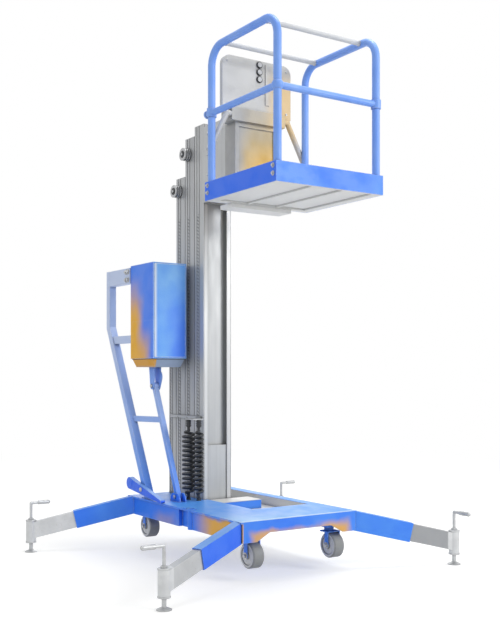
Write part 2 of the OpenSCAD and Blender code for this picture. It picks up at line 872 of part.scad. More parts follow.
// the outline of a cheek, with an end of radius r round the pin
module clevis_cheek(r) {
    translate(strut_pin1) circle(r = r);
    polygon([
        [strut_pin1.x - r, strut_pin1.y],
        [strut_pin1.x + r, strut_pin1.y],
        [strut_pin1.x + 34, pbox_base_z],
        [strut_pin1.x - 34, pbox_base_z]
    ]);
}

module strut_clevis() {
    color(paint_sky) on_base() {
        // a straight cheek outside, and inside a lobed one whose front edge swells out
        x0 = strut_x - strut_w / 2 - 5;
        slab_x(x0 - 4, x0 + 4) clevis_cheek(20);
        x1 = strut_x + strut_w / 2 + 5;
        slab_x(x1 - 4, x1 + 4) {
            clevis_cheek(26);
            tapered_bar(strut_pin1, 27, [strut_pin1.x - 12, pbox_base_z - 58], 38);
        }
        rod_x(strut_x - strut_w / 2 - 12, strut_x + strut_w / 2 + 12, strut_pin1.x, strut_pin1.y, strut_pin_d);
    }
}

shelf_z = pbox_z + 0.4 * pbox_h;

module power_box_shell() {
    color(paint_sky) on_base() {
        difference() {
            block([pbox_x0, pbox_y0, pbox_z], [pbox_x1, pbox_y1, pbox_z + pbox_h]);
            block(
                [pbox_x0 + pbox_t, pbox_y0 + pbox_t, pbox_z - 1],
                [pbox_x1 - pbox_t, pbox_y1 - pbox_t, pbox_z + pbox_h - pbox_t]
            );
        }
        block(
            [pbox_x0 + pbox_t, pbox_y0 + pbox_t, shelf_z - pbox_t],
            [pbox_x1 - pbox_t, pbox_y1 - pbox_t, shelf_z]
        );
    }
}

// the tapered tray's outline, drawn in by t on its sides and open at the top where t is over 0
module base_taper(inset, taper, t) {
    top = t > 0 ? pbox_z + 5 : pbox_z;
    hull() {
        block(
            [pbox_x0 + inset + t, pbox_y0 + inset + t, pbox_z - 2],
            [pbox_x1 - inset - t, pbox_y1 - inset - t, top]
        );
        block(
            [pbox_x0 + inset + taper + t, pbox_y0 + inset + taper + t, pbox_base_z + 2 * t],
            [pbox_x1 - inset - taper - t, pbox_y1 - inset - taper - t, pbox_base_z + 2 * t + 2]
        );
    }
}

module power_box_base() {
    inset = 8;
    taper = 18;
    color(amber_tint) on_base() difference() {
        base_taper(inset, taper, 0);
        base_taper(inset, taper, pbox_t);
    }
}

module battery() {
    color(dark_grey) on_base() {
        block([pbox_x0 + 24, pbox_y0 + 22, pbox_z], [pbox_x1 - 24, pbox_y1 - 22, shelf_z - 52]);
        for (y = [pbox_y0 + 60, pbox_y1 - 60])
            translate([pbox_x0 + 52, y, shelf_z - 52]) cylinder(h = 14, d = 16);
    }
}

module hydraulic_power_unit() {
    x = (pbox_x0 + pbox_x1) / 2;
    tank_top = shelf_z + 0.23 * pbox_h;
    valve_top = tank_top + 45;
    color(dark_grey) on_base() {
        block([pbox_x0 + 22, pbox_y0 + 90, shelf_z], [pbox_x1 - 22, pbox_y1 - 16, tank_top]);
        block([x - 45, pbox_y0 + 120, tank_top], [x + 45, pbox_y1 - 60, valve_top]);
        translate([x, pbox_y0 + 0.6 * pbox_l, valve_top]) cylinder(h = 0.21 * pbox_h, d = 92);
    }
}

module foot_lever() {
    big = [pivot_y + lever_back, pivot_z + 24];
    tip = [pivot_y - lever_front, deck_top + 10];
    color(paint_blue) on_base() difference() {
        slab_x(lever_x1 - lever_t, lever_x1) tapered_bar(big, lever_r, tip, 9);
        rod_x(lever_x1 - lever_t - 20, lever_x1 + 20, pivot_y, pivot_z, 14 + 2 * run_gap);
    }
}

/* curly cords */

rings_per_curl = 8;
cord_sides = 6;
lead_turns = 1;
lead_h = 14;

// share of the curl's full radius at turn t of a cord with n curls
function ease(u) = u <= 0 ? 0 : u >= 1 ? 1 : u * u * (3 - 2 * u);
function curl_share(t, n) = ease(t / lead_turns) * ease((n - t) / lead_turns);

// centre line: a straight lead, the curls, and a straight lead, as [angle, radius, height]
function curl_path(n, h, r) = concat(
    [[0, 0, 0], [0, 0, lead_h * 0.7]],
    [for (i = [0:n * rings_per_curl])
        let (t = i / rings_per_curl) [360 * t, r * curl_share(t, n), lead_h + h * t / n]],
    [[360 * n, 0, lead_h * 1.3 + h], [360 * n, 0, 2 * lead_h + h]]
);

function at_path(p) = [p[1] * cos(p[0]), p[1] * sin(p[0]), p[2]];
function unit(v) = v / norm(v);

function ring(path, i) =
    let (
        last = len(path) - 1,
        a = at_path(path[max(i - 1, 0)]),
        b = at_path(path[min(i + 1, last)]),
        along = i < 2 || i > last - 2 ? [0, 0, 1] : unit(b - a),
        out = [cos(path[i][0]), sin(path[i][0]), 0],
        side = unit(out - (out * along) * along),
        up = cross(along, side)
    )
    [for (k = [0:cord_sides - 1])
        at_path(path[i]) + cord_d / 2 * (cos(360 * k / cord_sides) * side + sin(360 * k / cord_sides) * up)];

module swept_cord(path) {
    count = len(path);
    points = [for (i = [0:count - 1]) each ring(path, i)];
    sides = [for (i = [0:count - 2], k = [0:cord_sides - 1])
        let (
            a = i * cord_sides + k,
            b = i * cord_sides + (k + 1) % cord_sides,
            c = b + cord_sides,
            d = a + cord_sides
        )
        each [[a, c, b], [a, d, c]]];
    top = (count - 1) * cord_sides;
    ends = concat(
        [for (k = [1:cord_sides - 2]) [0, k, k + 1]],
        [for (k = [1:cord_sides - 2]) [top, top + k + 1, top + k]]
    );
    polyhedron(points, concat(sides, ends));
}

// least distance between points at least most of a curl apart, less the cord's diameter
function self_gap(path) =
    let (pts = [for (p = path) at_path(p)])
    min([for (i = [0:len(pts) - 1], j = [i + rings_per_curl - 1:1:len(pts) - 1]) norm(pts[i] - pts[j])]) - cord_d;

gland_h = 16;
gland_d = cord_d + 6;
route_rear = curl_path(curls, curl_h, curl_r_rear);
route_front = curl_path(curls, curl_h, curl_r_front);
cord_z = deck_top + gland_h;
cord_end_z = cord_z + 2 * lead_h + curl_h;
echo(str("least gap of the curly cords to themselves, mm: ", min(self_gap(route_rear), self_gap(route_front))));

module cord_coil(at, route) {
    color(dark_grey) on_base() translate([at.x, at.y, cord_z]) swept_cord(route);
}

module cord_coil_rear() {
    cord_coil(coil_rear, route_rear);
}

module cord_coil_front() {
    cord_coil(coil_front, route_front);
}

plug_h = 44;
plug_d = cord_d + 10;

// the glands on the deck, and the plugs at the cords' upper ends
module cord_glands() {
    color(dark_grey) on_base() for (at = [coil_rear, coil_front]) {
        translate([at.x, at.y, deck_top]) {
            cylinder(h = 7, d = gland_d + 8, $fn = 6);
            cylinder(h = gland_h, d = gland_d);
        }
        translate([at.x, at.y, cord_end_z]) {
            cylinder(h = plug_h, d = plug_d);
            for (n = [0:2]) translate([0, 0, 8 + n * 12]) cylinder(h = 5, d = plug_d + 6);
        }
    }
}

arm_t = 6;
arm_h = 16;

// the plate over the plugs, on an arm from the fixed column
module cord_bracket() {
    x1 = -col_half - 4;
    z0 = cord_end_z + plug_h;
    color(mast_grey) on_base() {
        block([coil_rear.x - 20, coil_front.y - 16, z0], [coil_front.x + 20, coil_rear.y + 20, z0 + arm_t]);
        block([coil_rear.x, coil_rear.y - 24, z0], [x1, coil_rear.y + 20, z0 + arm_t]);
        block([x1 - arm_t, coil_rear.y - 24, z0], [x1, fixed_col_y + 50, z0 + arm_h]);
        block([x1 - 1, fixed_col_y + 20, z0], [-col_half, fixed_col_y + 50, z0 + arm_h]);
    }
}

/* platform */

module platform_floor() {
    rim = 54;
    rib = 16;
    x0 = -plat_half + toe_t;
    x1 = plat_half - toe_t;
    y0 = plat_front + toe_t;
    y1 = plat_rear - toe_t;
    panel_w = (x1 - x0 - 2 * rim - 2 * rib) / 3;
    color(floor_grey) on_base() {
        // bar under the rear edge that the carriage box stands on
        block([-195, y1 - 44, plat_z - 23], [195, box_y1 - 40, plat_z]);
        difference() {
            block([x0, y0, plat_z], [x1, y1, floor_top]);
            for (n = [0:2])
                block(
                    [x0 + rim + n * (panel_w + rib), y0 + 20, plat_z - 1],
                    [x0 + rim + n * (panel_w + rib) + panel_w, y1 - rim, plat_z + floor_recess]
                );
        }
    }
}

module toe_board() {
    color(paint_blue) on_base() difference() {
        block([-plat_half, plat_front, plat_z], [plat_half, plat_rear, plat_z + toe_h]);
        block(
            [-plat_half + toe_t, plat_front + toe_t, plat_z - 1],
            [plat_half - toe_t, plat_rear - toe_t, plat_z + toe_h + 1]
        );
    }
}

module hoop_bar(x, d) {
    top = rail_z - bend_r;
    translate([x, 0, 0]) rotate([90, 0, 90]) {
        translate([post_y1 - bend_r, top]) tube_corner(bend_r, d);
        translate([post_y0 + bend_r, top]) rotate([0, 0, 90]) tube_corner(bend_r, d);
    }
    for (y = [post_y0, post_y1]) translate([x, y, floor_top]) cylinder(h = top - floor_top, d = d);
    translate([x, post_y0 + bend_r, rail_z]) rotate([-90, 0, 0])
        cylinder(h = post_y1 - post_y0 - 2 * bend_r, d = d);
}

module hoop(x) {
    difference() {
        hoop_bar(x, tube_d);
        hoop_bar(x, tube_d - 2 * tube_wall);
    }
}

module side_hoop_left() {
    color(paint_sky) on_base() hoop(-post_x);
}

module side_hoop_right() {
    color(paint_sky) on_base() hoop(post_x);
}

module top_cross_rails() {
    color(floor_grey) on_base() for (y = [post_y0 + bend_r + 12, post_y1 - bend_r - 12])
        difference() {
            rod_x(-post_x, post_x, y, rail_z, cross_d);
            for (s = [-1, 1]) translate([s * post_x, y - 40, rail_z]) rotate([-90, 0, 0])
                cylinder(h = 80, d = tube_d + 0.1);
        }
}

collar_h = 46;
collar_wall = 6;

// left and front mid rails with collars that slide on three posts
module sliding_mid_rail() {
    posts = [[-post_x, post_y1], [-post_x, post_y0], [post_x, post_y0]];
    color(paint_sky) on_base() difference() {
        union() {
            for (p = [posts[0], posts[2]]) translate([p.x, p.y, mid_rail_z - collar_h / 2])
                cylinder(h = collar_h, d = tube_d + 2 * collar_wall);
            translate([-post_x, post_y0, mid_rail_z]) sphere(d = tube_d + 3 * collar_wall);
            translate([-post_x, post_y0, mid_rail_z]) rotate([-90, 0, 0])
                cylinder(h = post_y1 - post_y0 + 46, d = mid_tube_d);
            // stop ring on the rail's rear end
            translate([-post_x, post_y1 + 36, mid_rail_z]) rotate([-90, 0, 0])
                cylinder(h = 12, d = mid_tube_d + 8);
            rod_x(-post_x, post_x, post_y0, mid_rail_z, mid_tube_d);
        }
        for (p = posts) translate([p.x, p.y, mid_rail_z - 60]) cylinder(h = 120, d = tube_d + 2 * face_gap);
    }
}

module console_outline(t) {
    r = console_r - t;
    h = console_half - t;
    translate([-h, console_z + t]) square([2 * h, console_h - r - 2 * t]);
    translate([-h + r, console_z + t]) square([2 * h - 2 * r, console_h - 2 * t]);
    for (s = [-1, 1]) translate([s * (h - r), console_top - console_r]) circle(r);
}

console_wall = 4;

module console_panel() {
    color(floor_grey) on_base() {
        translate([0, console_y1, 0]) rotate([90, 0, 0]) difference() {
            linear_extrude(console_t) console_outline(0);
            translate([0, 0, -1]) linear_extrude(console_t - console_wall + 1) difference() {
                console_outline(console_wall);
                for (n = [0:2]) translate([button_x, button_z0 - n * button_pitch]) circle(r = button_r + 1);
            }
            for (n = [0:2]) translate([button_x, button_z0 - n * button_pitch, -1])
                cylinder(h = console_t + 2, r = button_r - 3);
        }
        // raised cable strip beside the buttons
        block([52, console_y0 - 5, console_z + 60], [78, console_y0, console_top - 14]);
    }
}

// the boss under each button stands on the panel's rear face
button_travel = 4;

module console_button(n) {
    color("white") on_base() translate([button_x, console_y0, button_z0 - n * button_pitch]) rotate([90, 0, 0]) {
        translate([0, 0, button_travel + face_gap]) cylinder(h = 6, r = button_r);
        translate([0, 0, -console_t + 6]) cylinder(h = console_t - 1, r = button_r - 3 - run_gap);
    }
}

module carriage_box() {
    frame_w = 24;
    bar_y0 = box_y0 - 24;
    color(amber_tint) on_base() {
        difference() {
            block([-box_half, box_y0, plat_z], [box_half, box_y1, bar_z]);
            block(
                [-box_half + frame_w, box_y0 - 1, plat_z + toe_h - 20],
                [box_half - frame_w, box_y0 + 9, bar_z - frame_w]
            );
            block([-box_half + 3, box_y0 + 12, plat_z - 1], [box_half - 3, box_y1 - 3, bar_z - 4]);
        }
        difference() {
            block([-bar_half, bar_y0, bar_z], [bar_half, box_y1 - 20, bar_z + bar_h]);
            block([-bar_half - 1, console_y0, console_z], [bar_half + 1, console_y1, bar_z + bar_h + 1]);
            block([-bar_half + 4, bar_y0 + 4, bar_z + 4], [bar_half - 4, box_y1 - 24, console_z - 4]);
        }
    }
}

shoe_z0 = plat_z + 143;
shoe_z1 = plat_z + 383;
shoe_h = 120;
carriage_lift = 76;

module carriage_frame() {
    side_t = 8;
    back_y = mast_front - 14;
    side_top = front_col_top - 25;
    z0 = plat_z + carriage_lift;
    color(mast_grey) on_base() {
        for (s = [-1, 1]) {
            x = s * (carriage_half - side_t / 2);
            block([x - side_t / 2, box_y1, z0], [x + side_t / 2, back_y, side_top]);
        }
        block([-carriage_half, back_y, z0], [carriage_half, back_y + 10, side_top]);
        block([-carriage_half, box_y1, side_top - 10], [carriage_half, back_y, side_top]);
        for (z = [shoe_z0, shoe_z1]) slide_shoe(back_y + 10, mast_front, z, z + shoe_h);
    }
}

brace_stub = 24;
brace_turn = 62;

// a tube from the cross bar's right end, turned at a knuckle down to the rear right post
module brace() {
    y = post_y1 + 22;
    z = console_z - brace_d / 2 - 3;
    x1 = bar_half + brace_stub;
    run = (post_x + 6 - x1) / cos(brace_turn);
    difference() {
        union() {
            rod_x(bar_half, x1, y, z, brace_d);
            translate([x1, y, z]) sphere(d = brace_d + 2);
            translate([x1, y, z]) rotate([0, 90 + brace_turn, 0]) cylinder(h = run, d = brace_d);
        }
        translate([post_x, post_y1, floor_top]) cylinder(h = rail_h, d = tube_d + 0.1);
    }
}

module brace_tubes() {
    color(floor_grey) on_base() {
        brace();
        mirror([1, 0, 0]) brace();
    }
}

chassis_frame();
recess_pan();
mast_base_block();
outrigger_sleeve(-1, -1);  // outrigger_sleeve_front_left
outrigger_sleeve(1, -1);  // outrigger_sleeve_front_right
outrigger_sleeve(-1, 1);  // outrigger_sleeve_rear_left
outrigger_sleeve(1, 1);  // outrigger_sleeve_rear_right
outrigger_beam(-1, -1);  // outrigger_beam_front_left
outrigger_beam(1, -1);  // outrigger_beam_front_right
outrigger_beam(-1, 1);  // outrigger_beam_rear_left
outrigger_beam(1, 1);  // outrigger_beam_rear_right
jack_foot(-1, -1);  // jack_foot_front_left
jack_foot(1, -1);  // jack_foot_front_right
jack_foot(-1, 1);  // jack_foot_rear_left
jack_foot(1, 1);  // jack_foot_rear_right
jack_crank(-1, -1);  // jack_crank_front_left
jack_crank(1, -1);  // jack_crank_front_right
jack_crank(-1, 1);  // jack_crank_rear_left
jack_crank(1, 1);  // jack_crank_rear_right
caster_fork(-1, -1);  // caster_fork_front_left
caster_fork(1, -1);  // caster_fork_front_right
caster_fork(-1, 1);  // caster_fork_rear_left
caster_fork(1, 1);  // caster_fork_rear_right
caster_wheel(-1, -1);  // caster_wheel_front_left
caster_wheel(1, -1);  // caster_wheel_front_right
caster_wheel(-1, 1);  // caster_wheel_rear_left
caster_wheel(1, 1);  // caster_wheel_rear_right
mast_column_fixed();
mast_column_third();
mast_column_second();
mast_column_front();
chain_roller_upper();
chain_roller_lower();
lift_cylinder();
lift_rod();
stand_frame();
strut_clevis();
power_box_shell();
power_box_base();
battery();
hydraulic_power_unit();
foot_lever();
cord_coil_rear();
cord_coil_front();
cord_glands();
cord_bracket();
platform_floor();
toe_board();
side_hoop_left();
side_hoop_right();
top_cross_rails();
sliding_mid_rail();
console_panel();
carriage_box();
carriage_frame();
brace_tubes();
console_button(0);  // console_button_upper
console_button(1);  // console_button_middle
console_button(2);  // console_button_lower
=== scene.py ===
import math
import random

import bpy
from mathutils import Matrix, Vector


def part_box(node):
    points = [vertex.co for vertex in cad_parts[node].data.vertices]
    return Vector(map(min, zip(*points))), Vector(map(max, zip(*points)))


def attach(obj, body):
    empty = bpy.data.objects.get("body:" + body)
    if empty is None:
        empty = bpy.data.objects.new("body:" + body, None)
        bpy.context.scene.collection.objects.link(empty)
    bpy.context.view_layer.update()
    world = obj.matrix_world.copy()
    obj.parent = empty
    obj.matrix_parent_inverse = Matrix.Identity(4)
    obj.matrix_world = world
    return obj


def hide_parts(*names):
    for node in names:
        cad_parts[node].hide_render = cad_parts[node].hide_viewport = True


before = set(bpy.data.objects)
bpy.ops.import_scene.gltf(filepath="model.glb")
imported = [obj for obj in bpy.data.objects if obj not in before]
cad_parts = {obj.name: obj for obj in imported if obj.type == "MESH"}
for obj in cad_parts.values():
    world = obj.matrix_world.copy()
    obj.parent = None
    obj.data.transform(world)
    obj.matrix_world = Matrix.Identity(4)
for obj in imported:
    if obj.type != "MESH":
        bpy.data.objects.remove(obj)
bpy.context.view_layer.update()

random.seed(7)
depthShift = -0.631688   # the part's own lengths start at the front apron; the frame's middle is further back


def at(x, y, z):
    # a place in mm, measured from the front apron as the part's values are, in the frame's metres
    return Vector((x / 1000, y / 1000 + depthShift, z / 1000))


def hexColour(code):
    # an sRGB hex value in the linear numbers that Blender mixes
    parts = [int(code[i:i + 2], 16) / 255 for i in (1, 3, 5)]
    return tuple(c / 12.92 if c <= 0.04045 else ((c + 0.055) / 1.055) ** 2.4 for c in parts) + (1.0,)


def addNode(tree, kind, settings=None, links=None):
    node = tree.nodes.new("ShaderNode" + kind)
    for key, value in (settings or {}).items():
        if isinstance(key, int) or key in node.inputs:
            node.inputs[key].default_value = value
        else:
            setattr(node, key, value)
    for key, source in (links or {}).items():
        tree.links.new(source, node.inputs[key])
    return node


def reckon(tree, operation, links, numbers=None):
    # one step of arithmetic: a link or a number for each socket, by the socket's place
    return addNode(tree, "Math", {"operation": operation, **(numbers or {})}, links).outputs[0]


def rampOf(tree, value, zero, one):
    # 0 where the value is at zero, 1 where it is at one, and even between them
    return addNode(tree, "MapRange", {"From Min": zero, "From Max": one}, {"Value": value}).outputs[0]


camera = {
    "place": (-2.9124, -4.52969, 1.0606),
    "turn": 33.684,        # degrees from +Y towards +X, with the camera level
    "frame": (500, 635),   # pixels, as are the focal length and the centre
    "focal": 944.96,
    "centre": (250.46, 371.27),
    "sensor": 36,          # mm, the height that the lens is reckoned against
}


def addCamera(look):
    turn = math.radians(look["turn"])
    ahead = Vector((math.sin(turn), math.cos(turn), 0))
    right = Vector((math.cos(turn), -math.sin(turn), 0))
    wide, tall = look["frame"]
    data = bpy.data.cameras.new("photoCamera")
    data.sensor_fit = "VERTICAL"
    data.sensor_height = look["sensor"]
    data.lens = look["focal"] / tall * look["sensor"]
    data.shift_x = (wide / 2 - look["centre"][0]) / tall
    data.shift_y = (look["centre"][1] - tall / 2) / tall
    data.clip_end = 200
    holder = bpy.data.objects.new("photoCamera", data)
    bpy.context.scene.collection.objects.link(holder)   # level, so only the turn is set
    spot = Matrix((right, Vector((0, 0, 1)), -ahead)).transposed().to_4x4()
    spot.translation = Vector(look["place"])
    holder.matrix_world = spot
    bpy.context.scene.camera = holder


studio = {
    "skyForObject": 0.56,
    "lamps": [  # name, place in metres, aims at, side in metres, watts
        ("keyLamp", (3.4, -6.0, 3.8), (0, 0, 1.2), 2.6, 190),
        ("topLamp", (0.8, -0.4, 6.6), (0, 0, 0.6), 2.2, 130),
        ("rearLamp", (3.5, 6.0, 3.6), (0, 0, 1.2), 3.0, 60),
        ("leftLamp", (-5.6, -1.6, 2.4), (0, 0, 1.0), 3.0, 34),
    ],
    "floorColour": "#dadad8",
    "floorLift": 0.46,         # what the floor glows by itself, to the eye alone
    "floorReach": 40,          # metres
    "floorDrop": 0.0006,       # metres, so that the pads don't share a plane with it
    "whiteFrom": (3.2, 7.0),   # metres from the middle over which the floor turns to plain white
}


def whiteToEye(tree):
    # 1 for what the eye sees straight, in a mirror or through glass, and 0 where it would light the object
    path = addNode(tree, "LightPath")
    seen = reckon(tree, "MAXIMUM", {0: path.outputs["Is Camera Ray"], 1: path.outputs["Is Glossy Ray"]})
    return reckon(tree, "MAXIMUM", {0: seen, 1: path.outputs["Is Transmission Ray"]})


def addStudio(look):
    scene = bpy.context.scene
    scene.view_settings.view_transform = "Standard"
    world = bpy.data.worlds.new("studioSky")
    scene.world = world
    world.use_nodes = True
    tree = world.node_tree
    tree.nodes.clear()
    soft = addNode(tree, "Background", {"Strength": look["skyForObject"]})
    soft.inputs[0].default_value = (1, 1, 1, 1)
    white = addNode(tree, "Background", {"Strength": 1.0})
    white.inputs[0].default_value = (1, 1, 1, 1)
    mixed = addNode(tree, "MixShader", links={0: whiteToEye(tree), 1: soft.outputs[0], 2: white.outputs[0]})
    addNode(tree, "OutputWorld", links={"Surface": mixed.outputs[0]})

    for name, place, aim, side, power in look["lamps"]:
        data = bpy.data.lights.new(name, "AREA")
        data.size = side
        data.energy = power
        lamp = bpy.data.objects.new(name, data)
        lamp.location = place
        lamp.rotation_euler = (Vector(aim) - Vector(place)).to_track_quat("-Z", "Y").to_euler()
        lamp.visible_camera = False
        scene.collection.objects.link(lamp)

    mesh = bpy.data.meshes.new("studioFloor")
    reach, sides = look["floorReach"], 64
    rim = [(math.cos(a) * reach, math.sin(a) * reach, -look["floorDrop"])
           for a in (math.tau * i / sides for i in range(sides))]
    mesh.from_pydata(rim, [], [list(range(sides))])
    floor = bpy.data.objects.new("studioFloor", mesh)
    scene.collection.objects.link(floor)
    paper = bpy.data.materials.new("paleStudioFloor")   # a matt pale floor that keeps the shadow
    paper.use_nodes = True
    tree = paper.node_tree
    tree.nodes.clear()
    grey = addNode(tree, "BsdfDiffuse", {"Color": hexColour(look["floorColour"])})
    glow = addNode(tree, "Emission", {"Strength": look["floorLift"]})
    dark = addNode(tree, "Emission", {"Strength": 0.0})
    lift = addNode(tree, "MixShader", links={0: whiteToEye(tree), 1: dark.outputs[0], 2: glow.outputs[0]})
    both = addNode(tree, "AddShader", links={0: grey.outputs[0], 1: lift.outputs[0]})
    spot = addNode(tree, "TexCoord").outputs["Object"]
    far = addNode(tree, "VectorMath", {"operation": "LENGTH"}, {0: spot}).outputs["Value"]
    plain = reckon(tree, "MULTIPLY", {0: rampOf(tree, far, *look["whiteFrom"]), 1: whiteToEye(tree)})
    white = addNode(tree, "Emission", {"Strength": 1.0})
    final = addNode(tree, "MixShader", links={0: plain, 1: both.outputs[0], 2: white.outputs[0]})
    addNode(tree, "OutputMaterial", links={"Surface": final.outputs[0]})
    mesh.materials.append(paper)


addCamera(camera)
addStudio(studio)
print("stage: camera, lamps and floor")


def startFinish(name, own):
    finish = bpy.data.materials.new(name)
    finish.use_nodes = True
    tree = finish.node_tree
    tree.nodes.clear()
    shader = addNode(tree, "BsdfPrincipled", own)
    addNode(tree, "OutputMaterial", links={"Surface": shader.outputs[0]})
    place = addNode(tree, "TexCoord").outputs["Object"]
    return finish, tree, shader, place


def cloudMask(tree, place, sizeMm, low, high, stretch=(1, 1, 1), detail=3.0):
    # soft patches about sizeMm across: 0 below low and 1 above high
    fit = addNode(tree, "Mapping", {"Scale": tuple(1000 / sizeMm / s for s in stretch)}, {"Vector": place})
    cloud = addNode(tree, "TexNoise", {"Scale": 1.0, "Detail": detail, "Roughness": 0.55},
                    {"Vector": fit.outputs[0]})
    return rampOf(tree, cloud.outputs[0], low, high)


def edgeMask(tree, widthMm, start, full):
    # 1 along the edges and corners, where handling wears a finish first and where pale rims paint a highlight
    soft = addNode(tree, "Bevel", {"Radius": widthMm / 1000, "samples": 6})
    true = addNode(tree, "NewGeometry")
    turn = addNode(tree, "VectorMath", {"operation": "DOT_PRODUCT"},
                   {0: soft.outputs[0], 1: true.outputs["Normal"]}).outputs["Value"]
    return rampOf(tree, turn, start, full)


def seamShadeMask(tree, reachMm):
    # 1 deep in corners and joints, read from ambient occlusion: painted shade there, with the grime that gathers
    # in joints
    near = addNode(tree, "AmbientOcclusion", {"Distance": reachMm / 1000, "samples": 6})
    return rampOf(tree, near.outputs["AO"], 0.85, 0.35)


def facing(tree, axis):
    # how squarely a face looks along an axis, from -1 to 1
    return addNode(tree, "SeparateXYZ", links={0: addNode(tree, "TexCoord").outputs["Normal"]}).outputs[axis]


thinBand = 0.02   # metres


def bandMask(tree, place, bands, wobbleMm=40):
    # the product of ramps along the axes: each is (axis, where it is 0, where it is 1) in the frame's metres
    uneven = addNode(tree, "TexNoise", {"Scale": 7.0, "Detail": 3.0}, {"Vector": place})
    sway = addNode(tree, "VectorMath",
                   {"operation": "MULTIPLY_ADD", 1: (wobbleMm / 500,) * 3, 2: (-wobbleMm / 1000,) * 3},
                   {0: uneven.outputs["Color"]})
    moved = addNode(tree, "VectorMath", {"operation": "ADD"}, {0: place, 1: sway.outputs[0]})
    loose = addNode(tree, "SeparateXYZ", links={0: moved.outputs[0]})
    exact = addNode(tree, "SeparateXYZ", links={0: place})
    total = None
    for axis, zero, one in bands:
        parts = exact if abs(one - zero) < thinBand else loose   # a thin band picks one face, and stays put
        ramp = addNode(tree, "MapRange", {"interpolation_type": "SMOOTHSTEP", "From Min": zero,
                                          "From Max": one}, {"Value": parts.outputs[axis]}).outputs[0]
        total = ramp if total is None else reckon(tree, "MULTIPLY", {0: total, 1: ramp})
    return total


def layColours(tree, ground, layers):
    # each layer covers what lies under it, by its mask times its share
    colour = None
    for mask, share, code in layers:
        part = reckon(tree, "MULTIPLY", {0: mask}, {1: share})
        mix = addNode(tree, "Mix", {"data_type": "RGBA", 6: hexColour(ground), 7: hexColour(code)},
                      {0: part})
        if colour is not None:
            tree.links.new(colour, mix.inputs[6])
        colour = mix.outputs[2]
    return colour


def surfaceBump(tree, shader, heights, roundMm):
    # rounded edges, with each height, its depth in mm and its mask of 0 to 1, laid over them
    normal = addNode(tree, "Bevel", {"Radius": roundMm / 1000, "samples": 4}).outputs[0]
    for height, depthMm in heights:
        normal = addNode(tree, "Bump", {"Strength": 1.0, "Distance": depthMm / 1000},
                         {"Height": height, "Normal": normal}).outputs[0]
    tree.links.new(normal, shader.inputs["Normal"])


def driveRoughness(tree, shader, mask, smooth, rough):
    span = addNode(tree, "MapRange", {"To Min": smooth, "To Max": rough}, {"Value": mask})
    tree.links.new(span.outputs[0], shader.inputs["Roughness"])


def powderCoat(name, look):
    # polyester powder on steel: an even satin colour with a faint orange peel, paler and duller where it is
    # handled and rubbed to the primer along its edges; pale edge rims are painted highlight, amber tints painted
    # warm shading
    finish, tree, shader, place = startFinish(name, {
        "Metallic": 0.0, "IOR": 1.5, "Coat Weight": look.get("coat", 0.08), "Coat Roughness": 0.3})
    washed = cloudMask(tree, place, look.get("patch", 420), 0.42, 0.68)
    dull = cloudMask(tree, place, 90, 0.45, 0.7)
    edges = edgeMask(tree, 7, 0.985, 0.80)
    chips = cloudMask(tree, place, 26, 0.5, 0.62)
    worn = reckon(tree, "MULTIPLY", {0: edges, 1: chips})
    layers = [(washed, look.get("wash", 0.5), look["pale"]), (dull, 0.16, look["deep"])]
    if "top" in look:   # the faces that look up are paler: painted top light, also the fading that daylight gives
        layers.append((rampOf(tree, facing(tree, 2), 0.6, 0.98), 0.75, look["top"]))
    for share, code, bands in look.get("tints", []):
        layers.append((bandMask(tree, place, bands), share, code))
    # painted shade in corners and joints, with grime, in navy unless the look gives its own seam colour
    layers += [(seamShadeMask(tree, 30), 0.55, look.get("seam", "#10243f")),
               # pale rims along every edge: painted highlight; the chips rubbed to the primer are wear
               (edges, look.get("edge", 0.3), look["rim"]), (worn, 0.5, "#c9ccd2")]
    tree.links.new(layColours(tree, look["colour"], layers), shader.inputs["Base Color"])
    driveRoughness(tree, shader, dull, look.get("smooth", 0.42), look.get("smooth", 0.42) + 0.16)
    # real orange peel has a wave of about 2 mm, drawn at 9 mm so that a whole-machine view can show it
    peel = cloudMask(tree, place, 9, 0.3, 0.7, detail=1.0)
    surfaceBump(tree, shader, [(peel, 0.18), (worn, -0.2)], 2.5)
    return finish


# metres: the front column's front face, the columns' pitch, the land between two grooves as depths behind a
# column's face, the slots' pitch and the height where their row ends, and half widths across the mast
mastLines = {"frontAt": 0.188312, "pitch": 0.110, "land": (0.0565, 0.0735), "link": 0.020, "highest": 1.98,
             "groove": 0.0905, "flange": 0.0655, "side": 0.0935, "skin": 0.0012}


def railMarks(tree, place):
    # the side grooves' floors, painted dark as shade, the flanges' inner faces, darkened as painted shade, the
    # front column's front faces, painted lighter as painted light, and between the grooves the row of short
    # slots, one every 20 mm
    skin = mastLines["skin"]
    parts = addNode(tree, "SeparateXYZ", links={0: place})
    along, high = parts.outputs[1], parts.outputs[2]

    def near(value, middle, half):
        return reckon(tree, "COMPARE", {0: value}, {1: middle, 2: half})

    across = reckon(tree, "ABSOLUTE", {0: parts.outputs[0]})
    groove = near(across, mastLines["groove"], skin)
    flange = near(across, mastLines["flange"], skin + 0.001)
    front = near(along, mastLines["frontAt"], skin)
    back = reckon(tree, "SUBTRACT", {0: along}, {1: mastLines["frontAt"]})
    depth = reckon(tree, "FLOORED_MODULO", {0: back}, {1: mastLines["pitch"]})
    row = near(depth, sum(mastLines["land"]) / 2, (mastLines["land"][1] - mastLines["land"][0]) / 2)
    slant = reckon(tree, "MULTIPLY_ADD", {0: depth, 2: high}, {1: -0.6})
    step = reckon(tree, "FLOORED_MODULO", {0: slant}, {1: mastLines["link"]})
    slot = reckon(tree, "LESS_THAN", {0: step}, {1: mastLines["link"] * 0.42})
    low = reckon(tree, "LESS_THAN", {0: high}, {1: mastLines["highest"]})
    outside = reckon(tree, "GREATER_THAN", {0: across}, {1: mastLines["side"]})
    for part in (slot, low, outside):
        row = reckon(tree, "MULTIPLY", {0: row, 1: part})
    return groove, flange, front, row


